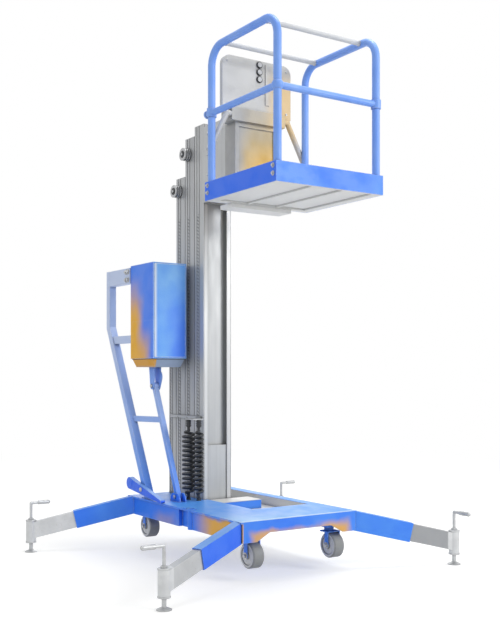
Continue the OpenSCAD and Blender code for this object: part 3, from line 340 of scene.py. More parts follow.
def extrudedAluminium(name, look):
    # clear-anodised mast extrusion: a soft grey metal with fine die lines along its length, darker smears of
    # chain oil and rail dust, and brighter edges, partly rubbed wear and partly painted highlight
    finish, tree, shader, place = startFinish(name, {"Metallic": look.get("metal", 0.45)})
    # die lines are tenths of a millimetre wide, drawn 6 mm wide and 900 mm long
    lines = cloudMask(tree, place, 6, 0.35, 0.65, stretch=(1, 1, 150), detail=2.0)
    bands = cloudMask(tree, place, 34, 0.4, 0.62, stretch=(1, 1, 40), detail=2.0)
    smear = cloudMask(tree, place, 160, 0.45, 0.7, stretch=(1, 1, 3))
    edges = edgeMask(tree, 5, 0.985, 0.82)
    groove, flange, front, row = railMarks(tree, place)
    layers = [(bands, 0.25, look["dark"]), (lines, 0.18, look["light"]), (smear, 0.22, look["dark"]),
              # lighter front faces: painted light; dark groove floors and flange inner faces: painted shade
              (front, 0.7, "#d6d7d8"), (groove, 0.75, "#3a3b3d"), (flange, 0.45, "#5a5b5d"),
              # painted shade in corners and joints; the paler edges are partly wear and partly painted highlight
              (row, 0.7, "#3c3d3f"), (seamShadeMask(tree, 26), 0.6, "#2c2d2f"), (edges, 0.5, look["light"])]
    tree.links.new(layColours(tree, look["colour"], layers), shader.inputs["Base Color"])
    driveRoughness(tree, shader, smear, look.get("smooth", 0.38), look.get("smooth", 0.38) + 0.2)
    surfaceBump(tree, shader, [(lines, 0.12), (bands, 0.15), (row, -0.8)], 1.2)
    return finish


def zincPlate(name, look):
    # galvanised or zinc-plated steel: a pale cool metal with a faint crystal spangle, dull grey patches and
    # a few brown specks where water stands
    finish, tree, shader, place = startFinish(name, {"Metallic": look.get("metal", 0.7)})
    fit = addNode(tree, "Mapping", {"Scale": (1000 / look.get("spangle", 16),) * 3}, {"Vector": place})
    spangle = addNode(tree, "TexVoronoi", {"Scale": 1.0}, {"Vector": fit.outputs[0]}).outputs["Color"]
    crystal = addNode(tree, "SeparateXYZ", links={0: spangle}).outputs[0]
    dull = cloudMask(tree, place, 70, 0.42, 0.66)
    specks = cloudMask(tree, place, 12, 0.68, 0.74)
    edges = edgeMask(tree, 5, 0.985, 0.82)
    layers = [(crystal, 0.3, look["light"]), (dull, 0.4, look["dark"]), (specks, 0.35, "#8a6a4a")]
    for share, code, bands in look.get("tints", []):
        layers.append((bandMask(tree, place, bands), share, code))
    # painted shade in corners and joints; the paler edges are partly wear and partly painted highlight
    layers += [(seamShadeMask(tree, 18), 0.55, "#3a3b3d"), (edges, 0.45, look["light"])]
    tree.links.new(layColours(tree, look["colour"], layers), shader.inputs["Base Color"])
    driveRoughness(tree, shader, crystal, look.get("smooth", 0.34), look.get("smooth", 0.34) + 0.14)
    surfaceBump(tree, shader, [(crystal, 0.06), (dull, 0.1)], look.get("round", 1.5))
    return finish


def mouldedRubber(name, look):
    # moulded polyurethane or rubber: a matt body colour with dust in its low places and scuffs on its tread
    finish, tree, shader, place = startFinish(name, {"Metallic": 0.0, "IOR": 1.52})
    dust = cloudMask(tree, place, 40, 0.42, 0.68)
    scuff = cloudMask(tree, place, 7, 0.52, 0.66)
    edges = edgeMask(tree, 4, 0.985, 0.82)
    layers = [(dust, 0.4, look["dust"]), (scuff, 0.25, look["light"])]
    if "side" in look:   # a tyre's side walls stay paler than its tread
        outward = reckon(tree, "ABSOLUTE", {0: facing(tree, 0)})
        layers.append((rampOf(tree, outward, 0.75, 0.97), 0.85, look["side"]))
    # paler rims along the edges: painted highlight; the tyre's rim colour is dark instead
    layers.append((edges, 0.5, look.get("rim", look["light"])))
    tree.links.new(layColours(tree, look["colour"], layers), shader.inputs["Base Color"])
    driveRoughness(tree, shader, dust, look.get("smooth", 0.5), look.get("smooth", 0.5) + 0.25)
    surfaceBump(tree, shader, [(scuff, 0.15)], look.get("round", 2))
    return finish


def mouldedPlastic(name, look):
    # injection-moulded ABS or nylon: an even colour with a spark-eroded grain and a soft sheen
    finish, tree, shader, place = startFinish(name, {"Metallic": 0.0, "IOR": 1.46})
    # the mould's grain is about 0.4 mm, drawn at 3 mm
    grain = cloudMask(tree, place, 3, 0.35, 0.65, detail=1.0)
    handled = cloudMask(tree, place, 30, 0.45, 0.7)
    edges = edgeMask(tree, 2, 0.985, 0.85)
    # the paler edges are painted highlight; the grain and the handled patches are the plastic's own
    layers = [(grain, 0.15, look["light"]), (handled, 0.25, look["light"]), (edges, 0.4, look["light"])]
    tree.links.new(layColours(tree, look["colour"], layers), shader.inputs["Base Color"])
    driveRoughness(tree, shader, handled, look.get("smooth", 0.42), look.get("smooth", 0.42) - 0.12)
    surfaceBump(tree, shader, [(grain, 0.06)], look.get("round", 1))
    return finish


blue = {"colour": "#3583ff", "pale": "#62aeff", "deep": "#2068f4", "rim": "#a4cfff", "top": "#58a6f6"}
amber = "#f0b208"
deckTop = 0.315
recess = {"left": -0.070, "right": 0.305, "front": -0.2867, "rear": 0.5583}


def skin(axis, level, half=0.0025):
    # two ramps that pick out the faces within half a skin of a level, and nothing beside them
    return [(axis, level + half, level + half - 0.001), (axis, level - half, level - half + 0.001)]


def recessWalls():
    # the recess's four inner faces, below the deck's edge
    within = [(0, recess["left"] - 0.002, recess["left"]),
              (1, recess["front"] - 0.003, recess["front"] - 0.001),
              (2, deckTop - 0.0015, deckTop - 0.0025)]
    return [skin(0, recess[side]) + within for side in ("left", "right")] + [
        skin(1, recess[side]) + within for side in ("front", "rear")]


finishes = {
    "frontApronBlue": powderCoat("powderCoatBlueChassis", {**blue, "tints": [
        # the chassis's left face below the deck a deeper blue: painted shade
        (0.85, "#2f80ff", [(0, -0.352, -0.360), (2, 0.3045, 0.3035)]),
        # a paler front-left corner of the deck top and a near-white band along its front edge: painted highlights
        (0.55, "#9ad6ff", [(1, -0.34, -0.62), (0, 0.30, -0.30), (2, deckTop - 0.0015, deckTop - 0.0005)]),
        (0.6, "#d6eeff", [(1, -0.600, -0.618), (2, deckTop - 0.0015, deckTop - 0.0005)]),
        # amber patches on the front apron and the left side, and a tan one further back on the left side: painted
        # warm shading
        (0.6, amber, [(1, -0.618, -0.628), (0, -0.33, -0.27), (0, 0.34, 0.28), (2, 0.272, 0.240)]),
        (0.6, amber, [(1, -0.618, -0.628), (0, -0.325, -0.27), (0, -0.12, -0.20), (2, 0.280, 0.226)]),
        (0.75, amber, [(1, -0.618, -0.628), (0, 0.06, 0.19), (0, 0.345, 0.27), (2, 0.300, 0.250)]),
        (0.95, amber, [(0, -0.352, -0.360), (1, -0.14, -0.36), (2, 0.312, 0.290)]),
        (0.4, "#c9a06a", [(0, -0.352, -0.360), (1, -0.02, 0.12), (1, 0.34, 0.2), (2, 0.29, 0.215)])]
        + [(1.0, "#d9d9d7", bands) for bands in recessWalls()]}),
    "deepBlue": powderCoat("powderCoatBlue", blue),
    "toeBlue": powderCoat("powderCoatToeBoardBlue", {
        # the toe board's left face a deeper blue: painted shade
        **blue, "tints": [(0.8, "#1f6cff", [(0, -0.3335, -0.3345)])]}),
    "sleeveBlue": powderCoat("powderCoatDeepBlue", {
        "colour": "#1a68ff", "pale": "#3f8aff", "deep": "#0f57ee", "rim": "#8fbfff", "top": "#8fc0f6"}),
    "hoopBlue": powderCoat("powderCoatSkyBlueTube", {
        "colour": "#74a4fb", "pale": "#9ac0ff", "deep": "#5a8ef0", "rim": "#c8dcff"}),
    "standBlue": powderCoat("powderCoatPaleBlue", {
        "colour": "#5f9bfd", "pale": "#8fbcff", "deep": "#4a86f2", "rim": "#d4e4ff", "tints": [
            (0.6, "#bdd2fb", [(2, 0.40, 0.90)]), (0.8, "#d3e0fb", [(2, 0.85, 1.40)])]}),
    "boxBlue": powderCoat("powderCoatBoxBlue", {
        "colour": "#5ba2ff", "pale": "#80c0ff", "deep": "#3f8aff", "rim": "#e6f1ff", "wash": 0.8, "edge": 0.7,
        # the box's left face a deeper blue: painted shade
        "tints": [(0.75, "#2d76ff", [(0, -0.3485, -0.3495)]),
                  # amber low on the left face: painted warm shading
                  (1.0, amber, [(0, -0.3485, -0.3495), (1, 0.43, 0.56), (2, 1.66, 1.36)]),
                  (0.9, amber, [(0, -0.3485, -0.3495), (1, 0.34, 0.46), (2, 1.36, 1.15)])]}),
    "boxDoorBlue": powderCoat("powderCoatDoorBlue", {
        # pure white rims at a large share along the edges: painted edge highlight
        "colour": "#5fa5ff", "pale": "#84c6ff", "deep": "#4489ff", "rim": "#ffffff",
        "wash": 0.85, "edge": 0.9, "patch": 300,
        "tints": [(0.9, "#3a7dff", [(0, -0.31, -0.16), (2, 1.62, 1.28)]),
                  # a near-white strip along the door's left edge: painted highlight
                  (0.75, "#f2f9ff", [(0, -0.320, -0.338)])]}),
    "boxBaseTint": powderCoat("powderCoatGreyTray", {
        "colour": "#93a5c0", "pale": "#a9b8cf", "deep": "#7d90ad", "rim": "#d7deea",
        # amber on the tray's left face: painted warm shading
        "tints": [(1.0, "#de9d08", [(0, -0.316, -0.330)])]}),
    "carriageGrey": powderCoat("powderCoatWarmGrey", {
        "colour": "#acacaa", "pale": "#bcbcb9", "deep": "#929290", "rim": "#d8d8d4",
        # amber and ochre patches on the carriage box: painted warm shading
        "tints": [(0.6, "#dcb850", [(0, -0.14, -0.02), (2, 2.62, 2.24)]),
                  (1.0, "#f4b80e", [(0, -0.12, 0.04), (2, 2.38, 2.10)]),
                  (0.6, "#e6c27a", [(0, 0.0, 0.10), (2, 2.34, 2.44)])]}),
    "consoleGrey": powderCoat("powderCoatLightGrey", {
        "colour": "#cdcdcb", "pale": "#d8d8d6", "deep": "#bbbbb9", "rim": "#e6e6e4",
        # an amber patch high on the console: painted warm shading
        "tints": [(0.75, "#e6bd6a", [(0, 0.03, 0.13), (2, 2.76, 2.60)])]}),
    "floorGrey": powderCoat("powderCoatFloorGrey", {
        "colour": "#d6d6d5", "pale": "#dfdfde", "deep": "#c4c4c3", "rim": "#e6e6e5", "wash": 0.35,
        # a grey seam colour for the painted shade in corners; the floor's faces below its top near white: painted
        # light in its shade
        "seam": "#6a6b6c", "tints": [(0.85, "#f4f4f3", [(2, 1.0, 1.5), (2, 1.9745, 1.9735)])]}),
    "railWhite": powderCoat("powderCoatRailWhite", {
        "colour": "#d0d2d5", "pale": "#dcdee0", "deep": "#b9bcc0", "rim": "#e8e9eb"}),
    "braceGrey": powderCoat("powderCoatBraceGrey", {
        "colour": "#c8c8c6", "pale": "#d4d4d2", "deep": "#b0b0ae", "rim": "#e2e2e0",
        # an amber patch on the braces: painted warm shading
        "tints": [(0.7, "#e6bd6a", [(0, 0.08, 0.16), (2, 2.30, 2.42)])]}),
    "darkPaint": powderCoat("powderCoatGraphite", {
        "colour": "#3f4247", "pale": "#55585e", "deep": "#2c2e32", "rim": "#8b8e94"}),
    "mast": extrudedAluminium("anodisedMastExtrusion", {
        "colour": "#c1c3c4", "dark": "#a3a5a7", "light": "#dcddde"}),
    # a darker copy of the mast finish for the rear columns and the cord bracket: painted shade
    "mastShadedCopy": extrudedAluminium("anodisedMastExtrusionShadedCopy", {
        "colour": "#b4b6b8", "dark": "#9c9ea0", "light": "#d0d1d3"}),
    "galvanised": zincPlate("galvanisedBeam", {
        "colour": "#d6d8da", "dark": "#bcbec0", "light": "#e6e7e8", "metal": 0.35, "tints": [
            # the front beams darker grey, the right one most: painted shade
            (0.85, "#94969a", [(0, 0.858, 0.852), (0, 0.20, 0.25), (1, -0.3, -0.4)]),
            (0.45, "#a6a8aa", [(0, -0.858, -0.852), (0, -0.20, -0.25), (1, -0.3, -0.4)])]}),
    "zinc": zincPlate("zincPlatedSteel", {
        "colour": "#c3c5c7", "dark": "#a0a2a4", "light": "#dcddde",
        "spangle": 9, "metal": 0.5, "smooth": 0.3}),
    "machined": zincPlate("turnedRollerSteel", {
        "colour": "#b5b6b8", "dark": "#8a8c8f", "light": "#dededf",
        "spangle": 6, "metal": 0.85, "smooth": 0.3}),
    "casting": zincPlate("castAluminiumHousing", {
        "colour": "#a2a4a6", "dark": "#7c7e80", "light": "#c5c6c8", "spangle": 4, "smooth": 0.45}),
    "wheelHub": mouldedPlastic("greyNylonWheelCentre", {"colour": "#dcdee0", "light": "#eceded"}),
    "tyre": mouldedRubber("greyPolyurethaneTyre", {
        "colour": "#8e9194", "dust": "#a09f9b", "light": "#a3a6a9", "side": "#e2e3e4", "rim": "#595b5e"}),
    "cordJacket": mouldedRubber("blackCurlyCordJacket", {
        "colour": "#303236", "dust": "#4b4c4d", "light": "#5d6064", "smooth": 0.36, "round": 0.6}),
    "blackRubber": mouldedRubber("blackMouldedRubber", {
        "colour": "#1f2022", "dust": "#4a4845", "light": "#45474a"}),
    "buttonPlastic": mouldedPlastic("greyButtonPlastic", {"colour": "#c9cacc", "light": "#eeeeee"}),
    "blackPlastic": mouldedPlastic("blackGlandNylon", {"colour": "#2b2d30", "light": "#5c5f63"}),
}

corners = ["front_left", "front_right", "rear_left", "rear_right"]
dressed = {
    "frontApronBlue": ["chassis_frame"],
    "toeBlue": ["toe_board"],
    "deepBlue": ["mast_base_block"] + ["outrigger_sleeve_" + c for c in corners[1:]]
    + ["caster_fork_" + c for c in corners],
    "sleeveBlue": ["outrigger_sleeve_front_left", "foot_lever"],
    "floorGrey": ["platform_floor", "recess_pan"],
    "hoopBlue": ["side_hoop_left", "side_hoop_right", "sliding_mid_rail", "strut_clevis"],
    "standBlue": ["stand_frame"],
    "boxBlue": ["power_box_shell"],
    "boxBaseTint": ["power_box_base"],
    "carriageGrey": ["carriage_box"],
    "consoleGrey": ["console_panel"],
    "railWhite": ["top_cross_rails"],
    "braceGrey": ["brace_tubes"],
    "darkPaint": ["battery"],
    "mast": ["mast_column_front", "carriage_frame"],
    "mastShadedCopy": ["cord_bracket", "mast_column_fixed", "mast_column_third", "mast_column_second"],
    "galvanised": ["outrigger_beam_" + c for c in corners],
    "zinc": [part + c for part in ("jack_foot_", "jack_crank_") for c in corners] + ["lift_rod", "lift_cylinder"],
    "machined": ["chain_roller_upper", "chain_roller_lower"],
    "casting": ["hydraulic_power_unit"],
    "tyre": ["caster_wheel_" + c for c in corners],
    "buttonPlastic": ["console_button_upper", "console_button_middle", "console_button_lower"],
    "blackPlastic": ["cord_glands"],
    "cordJacket": ["cord_coil_rear", "cord_coil_front"],
}
for finishName, nodeNames in dressed.items():
    for nodeName in nodeNames:
        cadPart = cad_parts[nodeName]
        if not cadPart.material_slots:
            cadPart.data.materials.append(None)
        for holder in cadPart.material_slots:
            holder.material = finishes[finishName]
bare = sorted(set(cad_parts) - {n for names in dressed.values() for n in names})
if bare:
    print("nodes without a finish:", bare)
print("stage: finishes on the packed parts")


def addPiece(name, points, faces, finish, body, slot, smooth=True):
    mesh = bpy.data.meshes.new(name)
    mesh.from_pydata([tuple(p) for p in points], [], faces)
    mesh.validate()
    mesh.materials.append(finishes[finish])
    if smooth:
        mesh.shade_smooth()
    piece = bpy.data.objects.new(name, mesh)
    bpy.context.scene.collection.objects.link(piece)
    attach(piece, body)
    return piece


def sweptTube(points, radii, sides=16):
    # a round tube along the points, turned as little as possible between them, with closed ends
    if not isinstance(radii, (list, tuple)):
        radii = [radii] * len(points)
    ahead = (points[1] - points[0]).normalized()
    across = ahead.orthogonal().normalized()
    rings = []
    for i, p in enumerate(points):
        a, b = points[max(i - 1, 0)], points[min(i + 1, len(points) - 1)]
        course = (b - a).normalized()
        across = (ahead.rotation_difference(course) @ across).normalized()
        ahead = course
        up = ahead.cross(across).normalized()
        rings.append([p + radii[i] * (math.cos(t) * across + math.sin(t) * up)
                      for t in (math.tau * k / sides for k in range(sides))])
    faces = []
    for i in range(len(rings) - 1):
        for k in range(sides):
            n = (k + 1) % sides
            faces.append((i * sides + k, i * sides + n, (i + 1) * sides + n, (i + 1) * sides + k))
    faces.append(tuple(range(sides))[::-1])
    faces.append(tuple((len(rings) - 1) * sides + k for k in range(sides)))
    return [q for ring in rings for q in ring], faces


curlyCord = {
    "floor": 331, "lead": 14, "height": 378, "curls": 14, "thick": 16,
    "coils": {"cord_coil_rear": (-166, 872, 31.5), "cord_coil_front": (-139, 800, 22)},
    "pointsPerCurl": 28,
}


def easeIn(u):
    u = min(max(u, 0), 1)
    return u * u * (3 - 2 * u)


def addCurlyCord(nodeName, x, y, reach):
    look = curlyCord
    floor, lead, height, curls = (look[k] for k in ("floor", "lead", "height", "curls"))
    route = [at(x, y, floor), at(x, y, floor + lead * 0.7)]
    steps = curls * look["pointsPerCurl"]
    for i in range(steps + 1):
        t = i * curls / steps
        r = reach * easeIn(t) * easeIn(curls - t)
        a = math.tau * t
        route.append(at(x + r * math.cos(a), y + r * math.sin(a), floor + lead + height * t / curls))
    route += [at(x, y, floor + height + lead * 1.3), at(x, y, floor + height + lead * 2)]
    tube = sweptTube(route, look["thick"] / 2000, 14)
    piece = addPiece("curlyCord_" + nodeName, *tube, "cordJacket", "machine_base", "cord_rubber")
    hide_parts(nodeName)


for nodeName, (x, y, reach) in curlyCord["coils"].items():
    addCurlyCord(nodeName, x, y, reach)
print("stage: curly cords")


def together(shapes):
    points, faces = [], []
    for spots, sides in shapes:
        faces += [tuple(k + len(points) for k in side) for side in sides]
        points += spots
    return points, faces


def turned(profile, place, axis, sides=28, hollow=False):
    # a turned shape: (radius, height) pairs in mm, its foot at place; a hollow one closes on itself
    axis = Vector(axis).normalized()
    across = axis.orthogonal().normalized()
    up = axis.cross(across)
    points = [place + (h * axis + r * (math.cos(a) * across + math.sin(a) * up)) / 1000
              for r, h in profile for a in (math.tau * k / sides for k in range(sides))]
    faces = []
    for i in range(len(profile) if hollow else len(profile) - 1):
        j = (i + 1) % len(profile)
        for k in range(sides):
            n = (k + 1) % sides
            faces.append((i * sides + k, i * sides + n, j * sides + n, j * sides + k))
    if not hollow:
        faces.append(tuple(range(sides))[::-1])
        faces.append(tuple((len(profile) - 1) * sides + k for k in range(sides)))
    return points, faces


def boltHead(place, axis, flats=13, washer=True):
    # a hexagon head with a chamfered crown, on its washer
    r = flats / 2 / math.cos(math.pi / 6)
    seat = 2.0 if washer else 0.0
    head = turned([(r, seat), (r, seat + flats * 0.48), (r * 0.86, seat + flats * 0.58)], place, axis, 6)
    if not washer:
        return head
    disc = turned([(flats * 0.88, 0), (flats * 0.92, 0.5), (flats * 0.92, seat - 0.4), (flats * 0.86, seat)],
                  place, axis)
    return together([disc, head])


def roundedPlate(low, high, corner, chamfer=1.0, thin=1):
    # a plate between two corners in mm, thin along one axis, with rounded corners and broken edges
    flat = [a for a in range(3) if a != thin]
    u0, u1, v0, v1 = low[flat[0]], high[flat[0]], low[flat[1]], high[flat[1]]

    def outline(inset):
        r = max(corner - inset, 0.2)
        path = []
        for cx, cy, start in ((u1 - inset - r, v1 - inset - r, 0), (u0 + inset + r, v1 - inset - r, 90),
                              (u0 + inset + r, v0 + inset + r, 180), (u1 - inset - r, v0 + inset + r, 270)):
            for k in range(7):
                a = math.radians(start + 15 * k)
                path.append((cx + r * math.cos(a), cy + r * math.sin(a)))
        return path

    levels = [(chamfer, low[thin]), (0, low[thin] + chamfer),
              (0, high[thin] - chamfer), (chamfer, high[thin])]
    points = []
    for inset, level in levels:
        for u, v in outline(inset):
            spot = [0, 0, 0]
            spot[flat[0]], spot[flat[1]], spot[thin] = u, v, level
            points.append(at(*spot))
    count = 28
    faces = [(i * count + k, i * count + (k + 1) % count,
              (i + 1) * count + (k + 1) % count, (i + 1) * count + k)
             for i in range(3) for k in range(count)]
    faces += [tuple(range(count))[::-1], tuple(3 * count + k for k in range(count))]
    return points, faces


def weldRing(place, axis, radius, bead, ripples=26):
    # a fillet of weld round a tube: a bead whose height rises and falls with each dab of the torch
    axis = Vector(axis).normalized()
    across = axis.orthogonal().normalized()
    up = axis.cross(across)
    points, steps, sides = [], ripples * 3, 8
    for i in range(steps):
        a = math.tau * i / steps
        out = math.cos(a) * across + math.sin(a) * up
        swell = bead * (0.92 + 0.16 * math.cos(ripples * a) + random.uniform(-0.05, 0.05))
        for k in range(sides):
            b = math.tau * k / sides
            points.append(place + (out * (radius + swell * math.cos(b)) + axis * swell * math.sin(b)) / 1000)
    faces = [(i * sides + k, i * sides + (k + 1) % sides, ((i + 1) % steps) * sides + (k + 1) % sides,
              ((i + 1) % steps) * sides + k) for i in range(steps) for k in range(sides)]
    return points, faces


powerBox = {
    "left": -350, "right": -130, "front": 960, "rear": 1250, "foot": 1135, "head": 1695,
    "doorInset": 7, "doorProud": 3, "gap": 0.2, "gasketInset": 4,
    "louvres": 6, "louvrePitch": 26, "louvreFrom": 150, "louvreTall": 11, "louvreProud": 5,
    "lock": (30, 300),   # from the left side and from the foot
}


def addPowerBoxTrim(look):
    left, right, front = look["left"], look["right"], look["front"]
    rear, foot, head = look["rear"], look["foot"], look["head"]
    inset, gap, lip = look["doorInset"], look["gap"], look["gasketInset"]
    door = roundedPlate((left + inset, front - look["doorProud"], foot + inset),
                        (right - inset, front - gap, head - inset), 8, 1.2)
    addPiece("boxDoor", *door, "boxDoorBlue", "machine_base", "sky_blue_paint", smooth=False)
    back = []
    for n in range(look["louvres"]):
        z = head - look["louvreFrom"] - n * look["louvrePitch"]
        back.append(roundedPlate((left + 60, rear - 0.5, z),
                                 (right - 40, rear + look["louvreProud"], z + look["louvreTall"]), 5, 2.2))
    addPiece("boxLouvres", *together(back), "boxBlue", "machine_base", "sky_blue_paint", smooth=False)
    lock = turned([(13, 0), (13, 2), (11, 4), (5, 4.2), (5, 6), (4, 6.6)],
                  at(left + look["lock"][0], rear, foot + look["lock"][1]), (0, 1, 0))
    addPiece("boxLock", *lock, "zinc", "machine_base", "zinc_plated_steel")
    # the rubber strip that the tray is clamped against
    strip = roundedPlate((left + lip, front + lip, foot - lip),
                         (right - lip, rear - lip, foot - gap), 8, 1.2, thin=2)
    addPiece("boxGasket", *strip, "blackRubber", "machine_base", "dark_plastic", smooth=False)


caster = {
    "half": 258, "front": 98, "rear": 1202, "trail": 28, "axle": 132, "wheel": 66, "forkOut": 41,
    "hubSunk": 5.8,      # how far the wheel's centre lies behind the tyre's face
    "rivets": 5, "rivetCircle": 32,
}


def addCasterTrim(look):
    ring = [(19.5, 0), (19.5, 1.4), (24, 1.9), (27, 1.1), (37, 1.1),
            (40, 1.9), (44, 1.9), (45.5, 0.6), (45.5, 0)]
    for corner in corners:
        x = look["half"] * (1 if corner.endswith("right") else -1)
        y = look["front" if corner.startswith("front") else "rear"] - look["trail"]
        hubs, nuts = [], []
        for s in (-1, 1):
            face = at(x + s * (look["wheel"] / 2 - look["hubSunk"]), y, look["axle"])
            hubs.append(turned(ring, face, (s, 0, 0), 48, hollow=True))
            for k in range(look["rivets"]):   # the rivets hold the tyre's rim
                a = math.tau * k / look["rivets"]
                spot = face + look["rivetCircle"] / 1000 * Vector((0, math.cos(a), math.sin(a)))
                hubs.append(turned([(4.2, 0.6), (4.0, 2.4), (2.2, 3.2)], spot, (s, 0, 0), 16))
            nuts.append(boltHead(at(x + s * look["forkOut"], y, look["axle"]), (s, 0, 0), 19))
        addPiece("casterHub_" + corner, *together(hubs), "wheelHub", "wheel_" + corner, "wheel_rubber",
                 smooth=False)
        addPiece("casterAxleNuts_" + corner, *together(nuts), "zinc", "fork_" + corner, "zinc_plated_steel",
                 smooth=False)


rollers = {
    "axles": {"upper_roller": (999, 2350), "lower_roller": (1109, 2147)},
    "face": 135, "axleEnd": 139,
}


def addRollerTrim(look):
    cap = [(21, 0), (21, 1.6), (19, 2.6), (9, 2.6), (9, 0.8), (8.2, 0.8), (8.2, 0)]
    end = [(7.8, 0), (7.8, 1.2), (6.4, 2.4), (3, 3.0)]
    for body, (y, z) in look["axles"].items():
        caps, ends = [], []
        for s in (-1, 1):
            caps.append(turned(cap, at(s * look["face"], y, z), (s, 0, 0), 40, hollow=True))
            ends.append(turned(end, at(s * look["axleEnd"], y, z), (s, 0, 0)))
        addPiece("rollerBearingCaps_" + body, *together(caps), "blackPlastic", body, "roller_steel")
        addPiece("rollerAxleEnds_" + body, *together(ends), "zinc", body, "roller_steel")


console = {
    "x": 12, "face": 404, "buttons": (2745, 2705, 2665),
    "screws": [(-196, 2500), (196, 2500), (-196, 2738), (196, 2738)],
}


def addConsoleTrim(look):
    bezel = [(14.2, 0), (14.2, 8.6), (15.2, 9.4), (17.4, 8.6), (18.2, 6.6), (18.2, 0)]
    screw = [(7, 0), (7, 1.2), (5.4, 3.2), (2.6, 3.8), (2.4, 2.4), (0.4, 2.4)]
    rings = [turned(bezel, at(look["x"], look["face"] + 0.3, z), (0, -1, 0), 40, hollow=True)
             for z in look["buttons"]]
    addPiece("buttonBezels", *together(rings), "blackPlastic", "platform", "dark_plastic")
    screws = [turned(screw, at(x, look["face"] + 0.2, z), (0, -1, 0)) for x, z in look["screws"]]
    addPiece("consoleScrews", *together(screws), "zinc", "platform", "zinc_plated_steel")


bolted = {
    "carriage": [(s * 104, y, z) for s in (-1, 1) for y in (532, 750) for z in (2075, 2190, 2305, 2425)],
    "hoopFeet": [(s * 335, y, z) for s in (-1, 1) for y in (-224, 378) for z in (2002, 2040)],
    "standArm": [(-357, y, z) for y in (1272, 1300) for z in (1614, 1662)],
    "pins": [(-250, 842, 342), (-250, 1125, 973)],
    "pinHalf": 26,
    "leverPivot": (-386, 1048, 370),
}


def addFasteners(look):
    side = [boltHead(at(*spot), (math.copysign(1, spot[0]), 0, 0), 17) for spot in look["carriage"]]
    addPiece("carriageBolts", *together(side), "zinc", "platform", "zinc_plated_steel", smooth=False)
    feet = [boltHead(at(*spot), (math.copysign(1, spot[0]), 0, 0), 13) for spot in look["hoopFeet"]]
    addPiece("hoopFootBolts", *together(feet), "zinc", "platform", "zinc_plated_steel", smooth=False)
    arm = [boltHead(at(*spot), (-1, 0, 0), 17) for spot in look["standArm"]]
    addPiece("standArmBolts", *together(arm), "zinc", "machine_base", "zinc_plated_steel", smooth=False)
    pins = [turned([(11, 0), (11, 3), (9.5, 4.4), (3, 4.8)], at(x + s * look["pinHalf"], y, z), (s, 0, 0))
            for x, y, z in look["pins"] for s in (-1, 1)]
    addPiece("strutPinHeads", *together(pins), "zinc", "machine_base", "zinc_plated_steel")
    pivot = turned([(13, 0), (13, 1.5), (10.5, 1.6), (10.5, 5), (8, 6.6), (3, 7)],
                   at(*look["leverPivot"]), (-1, 0, 0))
    addPiece("leverPivotCap", *pivot, "zinc", "foot_lever", "zinc_plated_steel")


welds = {
    "crossRails": [(s * 289, y, 2770) for s in (-1, 1) for y in (-112, 266)],
    "posts": [(s * 309, y, 1981) for s in (-1, 1) for y in (-224, 378)],
}


def addWelds(look):
    rails = [weldRing(at(*spot), (1, 0, 0), 13, 2.6) for spot in look["crossRails"]]
    addPiece("crossRailWelds", *together(rails), "railWhite", "platform", "grey_paint")
    posts = [weldRing(at(*spot), (0, 0, 1), 20, 3.2) for spot in look["posts"]]
    addPiece("postFootWelds", *together(posts), "hoopBlue", "platform", "sky_blue_paint")


lever = {"out": -386, "in": -358, "y": 1198, "z": 394, "radius": 34, "proud": 1.6}


def addLeverCap(look):
    # the round cap on the end that a foot presses
    r, proud = look["radius"] + look["proud"], look["proud"]
    wide = look["in"] - look["out"] + 2 * proud
    cap = turned([(r - 4, 0), (r - 1, 1), (r, 3.5), (r, wide - 3.5), (r - 1, wide - 1), (r - 4, wide)],
                 at(look["out"] - proud, look["y"], look["z"]), (1, 0, 0), 56)
    addPiece("leverFootCap", *cap, "sleeveBlue", "foot_lever", "deep_blue_paint", smooth=False)


tread = {"x": (-312, 312), "y": (-226, 380), "top": 1980, "pitch": 38, "long": 26, "wide": 7, "proud": 1.4}


def spread(limits, pitch):
    # places one pitch apart, centred between two limits
    count = int((limits[1] - limits[0]) // pitch)
    start = (limits[0] + limits[1] - (count - 1) * pitch) / 2
    return [start + i * pitch for i in range(count)]


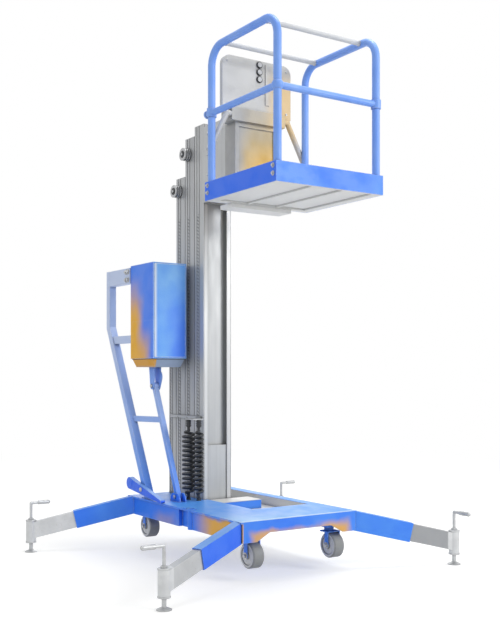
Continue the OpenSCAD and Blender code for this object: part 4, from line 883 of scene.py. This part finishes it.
def addTreadBars(look):
    # the raised bars of tread plate, turned by a quarter from one to the next
    shapes, sides = [], 8
    for i, x in enumerate(spread(look["x"], look["pitch"])):
        for j, y in enumerate(spread(look["y"], look["pitch"])):
            lean = math.radians(45 if (i + j) % 2 else -45)
            along = Vector((math.cos(lean), math.sin(lean), 0)) * look["long"] / 2
            side = Vector((-math.sin(lean), math.cos(lean), 0)) * look["wide"] / 2
            middle = at(x, y, look["top"])
            points = []
            for share, rise in ((1.0, 0.0), (0.62, look["proud"])):
                for a in (math.tau * k / sides for k in range(sides)):
                    points.append(middle + (share * math.cos(a) * along + share * math.sin(a) * side
                                            + Vector((0, 0, rise))) / 1000)
            faces = [(k, (k + 1) % sides, sides + (k + 1) % sides, sides + k) for k in range(sides)]
            faces += [tuple(range(sides, 2 * sides)), tuple(range(sides))[::-1]]
            shapes.append((points, faces))
    addPiece("floorTreadBars", *together(shapes), "floorGrey", "platform", "mast_aluminium", smooth=False)


mastFoot = {"low": (-69.5, 672, 309), "high": (210, 814, 312)}


def addMastFootPlate(look):
    addPiece("mastFootPlate", *roundedPlate(look["low"], look["high"], 4, 0.8, thin=2), "floorGrey",
             "machine_base", "grey_paint", smooth=False)


jack = {"tube": 58, "foot": 54, "head": 188, "collar": 9}


def addJackCollars(look):
    r, tall = look["tube"] / 2, look["collar"]
    collar = [(r - 0.4, 0), (r + 1.6, 0.8), (r + 2.2, 2),
              (r + 2.2, tall - 2), (r + 1.6, tall - 0.8), (r - 0.4, tall)]
    for corner in corners:
        low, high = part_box("jack_foot_" + corner)
        middle = (low + high) / 2
        rings = [turned(collar, Vector((middle.x, middle.y, z / 1000)), (0, 0, 1), 48, hollow=True)
                 for z in (look["foot"], look["head"] - tall)]
        addPiece("jackCollars_" + corner, *together(rings), "zinc", "beam_" + corner, "zinc_plated_steel")


addPowerBoxTrim(powerBox)
addCasterTrim(caster)
addRollerTrim(rollers)
addConsoleTrim(console)
addFasteners(bolted)
addWelds(welds)
addLeverCap(lever)
addTreadBars(tread)
addMastFootPlate(mastFoot)
addJackCollars(jack)
print("stage: trim, fasteners and welds")
